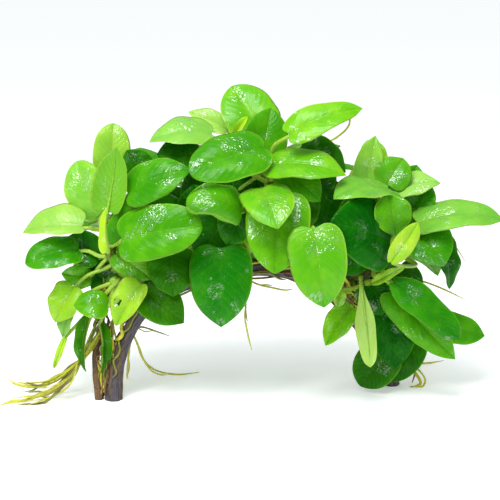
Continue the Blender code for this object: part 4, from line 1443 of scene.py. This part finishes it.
@dataclass
class Foliage:
    """All the leaves, single ones and those of the shoots.

    Attributes:
        plant: The plant that gets them.
        grower: What grows them.
    """

    plant: Plant
    grower: LeafGrower = field(default_factory=LeafGrower)

    def add(self, bm: BMesh, leaf: Blade, tone: Tone, hub: Vector | None) -> None:
        """Adds a leaf.

        Args:
            bm: The mesh that gets it.
            leaf: The leaf.
            tone: Its tone, where its habit has none.
            hub: Where its petiole ends, if that is known.
        """
        tones = self.plant.tones
        self.grower.blade(bm, leaf, tones.index(leaf.habit.tone or tone))
        self.grower.petiole(bm, leaf, hub, len(tones))

    def finish(self, name: str, bm: BMesh, node: str, replaces: bool = True) -> None:
        """Makes the leaves' mesh a piece with all the leaf materials.

        Args:
            name: The piece's name.
            bm: Its mesh.
            node: The node that it belongs to.
            replaces: Whether it stands for the node.
        """
        materials = (*self.plant.leaf_materials, self.plant.petiole)
        self.plant.piece(name, bm, node, materials, replaces)

    def single(self, node: str) -> None:
        """Grows one leaf in the place of its node.

        Args:
            node: The node's name.
        """
        limbs, _ = limbs_of(merged(self.plant.nodes[node]), LEAF_RINGS, LEAF_TIP_ANGLES)
        bm = self.plant.fresh_mesh()
        self.add(bm, Blade.from_limb(limbs[0], node), Tone(self.plant.slots[node]), None)
        self.finish(node + "_blade", bm, node)

    def shoot(self, node: str, letters: str) -> None:
        """Grows a shoot's leaves and its stub in the place of its node.

        Args:
            node: The node's name.
            letters: Its leaves' tones from left to right.
        """
        limbs, rest = limbs_of(merged(self.plant.nodes[node]), LEAF_RINGS, LEAF_TIP_ANGLES)
        limbs.sort(key=lambda limb: limb.tip.x)
        if len(limbs) != len(letters):
            log.warning("%s has %d leaves, and %d tones", node, len(limbs), len(letters))
        hub = sum(rest, Vector()) / len(rest)
        bm = self.plant.fresh_mesh()
        for number, (limb, letter) in enumerate(zip(limbs, letters), 1):
            leaf = Blade.from_limb(limb, f"{node}_{number}")
            self.add(bm, leaf, TONE_LETTERS[letter], hub)
        knob(bm, hub, 2.2 * MM, len(self.plant.tones))
        self.finish(node + "_leaves", bm, node)

    def understorey(self, node: str, rows: Sequence[tuple]) -> None:
        """Grows the small leaves that stand deep between a rhizome's others.

        Args:
            node: The rhizome.
            rows: The leaves' rows in UNDERSTOREY.
        """
        bm = self.plant.fresh_mesh()
        stem = [vert.co.copy() for vert in merged(self.plant.nodes[node]).verts]
        for number, (base, tip, half, letter) in enumerate(rows, 1):
            base, tip = vector_mm(base), vector_mm(tip)
            foot = min(stem, key=lambda point: (point - base).length)
            stalk = [base, base.lerp(foot, 0.5) + Vector((0, 0.8 * MM, 0)), foot]
            leaf = Blade(f"{node}_under_{number}", base, tip, Vector((0, -1, 0.25)), half * MM,
                         stalk, [0.7 * MM, 0.8 * MM, 0.9 * MM])
            self.add(bm, leaf, TONE_LETTERS[letter], foot)
        self.finish(node + "_understorey", bm, node, replaces=False)

    def build(self) -> None:
        """Grows every leaf."""
        for node in self.plant.nodes:
            if node.startswith("leaf_"):
                self.single(node)
            elif node.startswith("shoot_"):
                self.shoot(node, SHOOT_TONES[node])
        for node, rows in UNDERSTOREY.items():
            self.understorey(node, rows)


def knob(bm: BMesh, centre: Vector, radius: float, slot: int) -> None:
    """An uneven lump, from which leaves or roots grow.

    Args:
        bm: The mesh that gets it.
        centre: Its middle.
        radius: Its size.
        slot: Its material slot.
    """
    reach = Vector((0, 0, radius))
    tube(bm, [centre - reach, centre - reach * 0.7, centre, centre + reach * 0.7, centre + reach],
         [0.1 * radius, 0.75 * radius, radius, 0.75 * radius, 0.1 * radius], 16, 12, slot, 0.3)


@dataclass
class Branch:
    """A bark-covered branch, wrapped again round the rings of its faceted node.

    Attributes:
        node: The node's name.
        sides: The points in each of the node's rings.
        columns: Faces round the bark.
        rows: Faces along it.
        ridge: How high its ridges stand.
        ridges_round: How close the ridges stand round it.
        ridges_along: How close they follow each other along it.
        knots_along: The same for its knots.
        foot: How low the last row of faces has to be to lie flat on the floor.
        centres: The branch's middle line, once it is read.
        sizes: The branch's radius at a share of its way, once it is read.
    """

    node: str
    sides: int
    columns: int = 64
    rows: int = 260
    ridge: float = 0.32 * MM
    ridges_round: float = 1.9
    ridges_along: float = 75.0
    knots_along: float = 260.0
    foot: float = 3 * MM
    centres: Path = field(init=False)
    sizes: Callable[[float], float] = field(init=False)

    def read(self, plant: Plant) -> None:
        """Reads the branch's middle line and its size from its foot to its end.

        Args:
            plant: The plant with the branch's node.
        """
        bm = merged(plant.nodes[self.node])
        feet = sorted((vert for vert in bm.verts if vert.co.z < 1e-6), key=lambda vert: vert.co.x)
        start = feet[:self.sides]
        rings = [[vert.co.copy() for vert in start]]
        rings += [[vert.co.copy() for vert in ring] for ring in rings_from(set(start), self.sides)]
        limb = Limb(rings[-1][0], rings)
        self.centres = Path.even(limb.centres())
        self.sizes = number_path(self.centres.shares, limb.radii())

    def build(self, plant: Plant, material: Material) -> None:
        """Wraps the bark round the branch.

        Args:
            plant: The plant that gets it.
            material: The bark's material.
        """
        points = [self.centres.at(i / self.rows) for i in range(self.rows + 1)]
        frames = frames_along(points)
        length = sum((b - a).length for a, b in zip(points, points[1:]))

        def place(turn: float, share: float) -> Vector:
            """A point of the bark.

            Args:
                turn: How far round it is, from 0 to 1.
                share: How far along it is.

            Returns:
                The point.
            """
            row = round(share * self.rows)
            side, up = frames[row]
            angle = seam_angle(turn, self.columns)
            x, y, far = math.cos(angle), math.sin(angle), share * length
            spot = Vector((x * self.ridges_round, y * self.ridges_round, far * self.ridges_along))
            ridges = noise.noise(spot) + 0.5 * noise.noise(spot * 2.3)
            knots = noise.noise(Vector((x, y, far * self.knots_along)))
            reach = self.sizes(share) + self.ridge * (ridges + 0.5 * knots)
            if row in (0, self.rows):
                reach = 0.0
            point = points[row] + (side * x + up * y) * reach
            if row in (1, self.rows - 1) and point.z < self.foot:
                point.z = 0.0
            return above_floor(point)

        fine = plant.fresh_mesh()
        wrapped(fine, self.columns, self.rows, place)
        plant.piece(self.node + "_bark", fine, self.node, (material,))

    def beside(self, start: float, end: float, way: Sequence[float], radius: float,
               drift: float, chance: random.Random) -> list[Vector]:
        """The way of a root that clings to the branch.

        Args:
            start: The share of the branch at which it begins.
            end: The share at which it ends.
            way: The direction from the branch's middle in which it lies.
            radius: The root's radius.
            drift: How far it wanders round the branch, in radians.
            chance: Where its wandering comes from.

        Returns:
            The root's points.
        """
        points = []
        steps = 14
        phase = chance.uniform(0, 99)
        for i in range(steps + 1):
            share = start + (end - start) * i / steps
            centre = self.centres.at(share)
            tangent = (self.centres.at(share + 0.01) - self.centres.at(share - 0.01)).normalized()
            out = Vector(way)
            out = (out - tangent * out.dot(tangent)).normalized()
            turn = drift * noise.noise(Vector((i * 0.35, phase, 0)))
            out.rotate(Matrix.Rotation(2 * turn, 3, tangent))
            lift = 0.25 * MM + 0.5 * MM * abs(noise.noise(Vector((i * 0.6, phase, 5))))
            points.append(centre + out * (self.sizes(share) + radius + lift))
        return points


@dataclass
class Stem:
    """A fleshy creeping stem, smoothed from its faceted node, with the thin roots that it bears.

    Attributes:
        node: The node's name.
        relief: How uneven its skin is.
        grain: How fine the unevenness is.
        runner_share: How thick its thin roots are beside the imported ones.
    """

    node: str
    relief: float = 0.25 * MM
    grain: float = 260.0
    runner_share: float = 0.8

    def build(self, plant: Plant) -> None:
        """Rounds and roughens the stem's skin and draws its thin roots again.

        Args:
            plant: The plant that gets it.
        """
        bm = merged(plant.nodes[self.node])
        runners, _ = limbs_of(bm, 3, ROOT_TIP_ANGLES)
        spots = [point for limb in runners for ring in [[limb.tip], *limb.rings] for point in ring]
        gone = [vert for vert in bm.verts
                if any((vert.co - spot).length < 0.001 * MM for spot in spots)]
        bmesh.ops.delete(bm, geom=gone, context="VERTS")
        bmesh.ops.holes_fill(bm, edges=[edge for edge in bm.edges if edge.is_boundary])
        bmesh.ops.triangulate(bm, faces=bm.faces)
        bm.loops.layers.uv.new("UVMap")
        bm.verts.layers.float.new("tint")
        bmesh.ops.subdivide_edges(bm, edges=bm.edges, cuts=2, use_grid_fill=True, smooth=1.0)
        for _ in range(2):
            bmesh.ops.smooth_vert(bm, verts=bm.verts, factor=0.4, use_axis_x=True,
                                  use_axis_y=True, use_axis_z=True)
        bm.normal_update()
        moves = [vert.normal * noise.noise(vert.co * self.grain) * self.relief for vert in bm.verts]
        for vert, move in zip(bm.verts, moves):
            vert.co += move
        for face in bm.faces:
            face.smooth = True
        for limb in runners:
            radii = [radius * self.runner_share for radius in limb.radii()]
            tube(bm, [limb.tip, *limb.centres()], [0.12 * MM, *radii], 8, 60, 1, 0.2)
        plant.piece(self.node + "_stem", bm, self.node, (plant.rhizome, plant.roots["yellow"]))


def straying(share: float, pitch: float, phase: float) -> Vector:
    """How far a root strays at a share of its way, from -1 to 1 along each axis."""
    return Vector([noise.noise(Vector((share * pitch, phase, axis * 7))) for axis in range(3)])


@dataclass
class Roots:
    """The root bundles, and the thin roots that cling to the wood.

    Attributes:
        plant: The plant that gets them.
        arch: The branch that they cling to.
        slimness: How thick a bundle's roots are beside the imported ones.
    """

    plant: Plant
    arch: Branch
    slimness: float = 0.8

    def bundle(self, node: str, colours: Sequence[str], companions: int,
               anchor: Sequence[float]) -> None:
        """Grows a root bundle in the place of its node.

        Args:
            node: The bundle's node.
            colours: The names of its roots' finishes, which take turns.
            companions: How many thinner roots go beside each packed one.
            anchor: Where its roots come from, past the bundle's middle, in millimetres.
        """
        chance = random.Random(node)
        limbs, rest = limbs_of(merged(self.plant.nodes[node]), 2, ROOT_TIP_ANGLES)
        hub = sum(rest, Vector()) / len(rest)
        origin = vector_mm(anchor)
        names = list(dict.fromkeys(colours))
        bm = self.plant.fresh_mesh()
        for number, limb in enumerate(limbs):
            slot = names.index(colours[number % len(colours)])
            points = [limb.tip, *limb.centres(), hub]
            stray = Vector([chance.uniform(-1.5, 1.5) * MM for _ in range(3)])
            points += [(hub + origin) / 2 + stray, origin + stray * 1.5]
            radii = [0.15 * MM, *limb.radii(), *[limb.radii()[-1]] * 2, 0.3 * MM]
            radii = [radius * self.slimness for radius in radii]
            tube(bm, points, radii, 10, 72, slot, 0.25)
            for _ in range(companions):
                self.companion(bm, points, chance, chance.randrange(len(names)))
        knob(bm, hub, 1.1 * MM, 0)
        materials = [self.plant.roots[name] for name in names]
        self.plant.piece(node + "_strands", bm, node, materials)

    @staticmethod
    def companion(bm: BMesh, points: Sequence[Vector], chance: random.Random,
                  slot: int) -> None:
        """Adds a thin root that wanders beside another.

        Args:
            bm: The mesh that gets it.
            points: The other root's points.
            chance: Where its way and size come from.
            slot: Its material slot.
        """
        steps = 12
        path = Path.even(points)
        radius = chance.uniform(0.22, 0.45) * MM
        start = chance.uniform(0.0, 0.4)
        phase = chance.uniform(0, 99)
        spread = chance.uniform(1.5, 3.2) * MM
        made = []
        for i in range(steps + 1):
            share = start + (1 - start) * i / steps
            place = path.at(share) + straying(share, 3.5, phase) * spread * 2 * (1 - share)
            made.append(above_floor(place, radius))
        tube(bm, made, [0.1 * MM, *[radius] * steps], 8, 56, slot, 0.25)

    def clinging(self) -> None:
        """Lays thin roots along the arch."""
        chance = random.Random("clinging")
        bm = self.plant.fresh_mesh()
        rows = (
            # From and to along the branch, the side it lies on, radius in mm, and its finish
            (0.13, 0.30, (-1.0, -0.5, 0.0), 0.75, 0),
            (0.05, 0.24, (-0.4, -1.0, 0.0), 0.40, 1),
            (0.02, 0.20, (-1.0, 0.1, 0.0), 0.45, 2),
            (0.01, 0.16, (-0.8, -0.7, 0.0), 0.35, 2),
            (0.26, 0.60, (0.0, -0.8, -0.6), 0.50, 1),
            (0.34, 0.66, (0.0, -0.3, -1.0), 0.45, 2),
            (0.38, 0.70, (0.0, -1.0, -0.1), 0.40, 2),
            (0.42, 0.62, (0.0, -0.9, 0.5), 0.50, 0),
            (0.55, 0.86, (-0.5, -0.9, -0.3), 0.40, 2),
            (0.60, 0.92, (-1.0, -0.3, -0.4), 0.45, 2),
            (0.66, 0.97, (-0.2, -1.0, 0.2), 0.35, 1),
            (0.30, 0.72, (0.0, 0.9, -0.5), 0.45, 1),
            (0.08, 0.40, (0.3, 1.0, 0.0), 0.40, 2),
        )
        for start, end, way, radius, slot in rows:
            points = self.arch.beside(start, end, way, radius * MM, 0.8, chance)
            sizes = [0.1 * MM, *[radius * MM] * (len(points) - 2), 0.1 * MM]
            tube(bm, points, sizes, 8, 70, slot, 0.25)
        materials = [self.plant.roots[name] for name in ("yellow", "olive", "brown")]
        self.plant.piece("driftwood_arch_clinging_roots", bm, "roots_left_leg", materials,
                         replaces=False)

    def tangle(self, name: str, node: str, start: Sequence[float], end: Sequence[float],
               spread: Sequence[float], count: int) -> None:
        """Fills a place with a tangle of thin brown and olive roots.

        Args:
            name: The piece's name.
            node: The root bundle that it belongs to.
            start: Where its roots begin, in millimetres.
            end: Where they end, in millimetres.
            spread: How far they lie round those points, in millimetres.
            count: How many there are.
        """
        steps = 10
        chance = random.Random(name)
        bm = self.plant.fresh_mesh()
        for _ in range(count):
            ends = [vector_mm([value + chance.uniform(-away, away)
                               for value, away in zip(place, spread)]) for place in (start, end)]
            phase = chance.uniform(0, 99)
            radius = chance.uniform(0.25, 0.6) * MM
            points = []
            for i in range(steps + 1):
                share = i / steps
                away = straying(share, 4.0, phase) * 5 * MM * math.sin(math.pi * share)
                points.append(above_floor(ends[0].lerp(ends[1], share) + away, radius))
            sizes = [0.15 * MM, *[radius] * (steps - 1), 0.1 * MM]
            tube(bm, points, sizes, 8, 48, chance.choice((0, 0, 1, 2)), 0.3)
        materials = [self.plant.roots[colour] for colour in ("brown", "olive", "yellow")]
        self.plant.piece(name, bm, node, materials, replaces=False)

    def build(self) -> None:
        """Grows every root."""
        self.bundle("roots_left", ("yellow", "yellow", "olive"), 5, (-60.5, -7, 30))
        self.bundle("roots_left_leg", ("yellow", "olive"), 1, (-47, -2, 34))
        self.bundle("roots_crown", ("yellow", "olive"), 1, (-1, 0, 54))
        self.bundle("roots_right_foot", ("brown", "yellow"), 1, (52, 8, 26))
        self.clinging()
        self.tangle("roots_left_tangle", "roots_left", (-59, -6, 31), (-60, -11, 2), (3, 2, 3), 22)
        self.tangle("roots_left_upper_tangle", "roots_left", (-60, -5, 47), (-62, -6, 27),
                    (4, 3, 3), 9)
        self.tangle("roots_right_tangle", "roots_right_foot", (44, 2, 44), (52, 4, 22),
                    (6, 3, 4), 12)
        self.tangle("roots_right_upper_tangle", "roots_right_foot", (30, -3, 52), (48, -4, 38),
                    (4, 3, 4), 16)


@dataclass
class Studio:
    """A pale floor, soft light and the camera at the photograph's angle.

    Attributes:
        target: What the camera looks at, and the softboxes too.
        elevation: How far above the level the camera stands.
        distance: How far away it stands.
        pixels_per_metre: The picture's scale at the target.
        picture: The picture's width in pixels.
        sensor: The width of the camera's sensor, in millimetres.
        floor_half: Half the floor's width.
        floor_glow: How much light the floor gives off itself, which softens the shadows.
        broad_strength: How strong the broad light is.
        surroundings: How bright the surroundings are.
        mirrored: How bright they are in reflections.
    """

    target: Vector = field(default_factory=lambda: Vector((-0.0005, -0.00026, 0.06)))
    elevation: float = SIGHT
    distance: float = 0.62
    pixels_per_metre: float = 2450.0
    picture: int = 500
    sensor: float = 36.0
    floor_half: float = 6.0
    floor_glow: float = 0.30
    broad_strength: float = 0.52
    surroundings: float = 0.62
    mirrored: float = 0.22

    def camera(self) -> None:
        """Adds the camera."""
        data = bpy.data.cameras.new("camera")
        data.sensor_width = self.sensor
        data.lens = self.pixels_per_metre * self.distance * self.sensor / self.picture
        made = placed("camera", data)
        back = Vector((0, -math.cos(self.elevation), math.sin(self.elevation)))
        made.location = self.target + back * self.distance
        made.rotation_euler = (math.pi / 2 - self.elevation, 0, 0)
        data.clip_start = 0.01
        bpy.context.scene.camera = made

    def floor(self) -> None:
        """Adds the floor, wide enough to fill the picture."""
        bm = bmesh.new()
        bmesh.ops.create_grid(bm, x_segments=1, y_segments=1, size=self.floor_half)
        mesh = bpy.data.meshes.new("floor")
        bm.to_mesh(mesh)
        bm.free()
        material, build, shader = Finish("pale_floor", 0.6).shader()
        build.feed(shader, Base_Color=(0.97, 0.98, 0.985, 1.0),
                   Emission_Color=(0.94, 1.0, 0.98, 1.0), Emission_Strength=self.floor_glow)
        mesh.materials.append(material)
        made = placed("floor", mesh)

    def softbox(self, name: str, place: Sequence[float], size: tuple[float, float],
                glare: float) -> None:
        """Adds a small softbox that points at the plant's middle.

        Args:
            name: Its name.
            place: Where it hangs, in metres.
            size: Its width and height, in metres.
            glare: How bright its face is, next to a white surface in the studio.
        """
        data = bpy.data.lights.new(name, "AREA")
        data.shape = "RECTANGLE"
        data.size, data.size_y = size
        data.energy = glare * math.pi * size[0] * size[1]
        made = placed(name, data)
        made.location = place
        aim = self.target - made.location
        made.rotation_euler = aim.to_track_quat("-Z", "Y").to_euler()

    def light(self) -> None:
        """Adds the softboxes, a broad soft light from above and the pale surroundings."""
        self.softbox("overhead_softbox", (-0.10, -0.28, 0.60), (0.32, 0.26), 11.0)
        self.softbox("side_softbox", (-0.30, -0.38, 0.44), (0.16, 0.14), 9.5)
        data = bpy.data.lights.new("broad_light", "SUN")
        data.angle = math.radians(50)
        data.energy = self.broad_strength
        made = placed("broad_light", data)
        made.rotation_euler = (math.radians(12), math.radians(-8), 0)
        world = bpy.data.worlds.new("surroundings")
        world.use_nodes = True
        back = world.node_tree.nodes["Background"]
        build = ShaderTree(world.node_tree)
        glossy = build.node("LightPath").outputs["Is Glossy Ray"]
        build.feed(back, Color=(0.97, 0.99, 1.0, 1.0),
                   Strength=build.ramp(glossy, 0.0, 1.0, self.surroundings, self.mirrored))
        bpy.context.scene.world = world

    def build(self) -> None:
        """Sets the whole studio up."""
        self.camera()
        self.floor()
        self.light()
        bpy.context.scene.view_settings.view_transform = "Standard"


def main() -> None:
    """Loads the frame, dresses it piece by piece and sets up the studio."""
    logging.basicConfig(level=logging.INFO, format="%(message)s")
    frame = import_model()
    plant = Plant(frame)
    arch = Branch("driftwood_arch", 9)
    side_shoot = Branch("driftwood_side_shoot", 8, columns=32, rows=90, ridge=0.3 * MM)
    for branch, material in ((arch, plant.bark), (side_shoot, plant.side_bark)):
        branch.read(plant)
        branch.build(plant, material)
    for node in UNDERSTOREY:
        Stem(node).build(plant)
    Roots(plant, arch).build()
    Foliage(plant).build()
    Studio().build()
    bpy.context.view_layer.update()


if __name__ == "__main__":
    main()
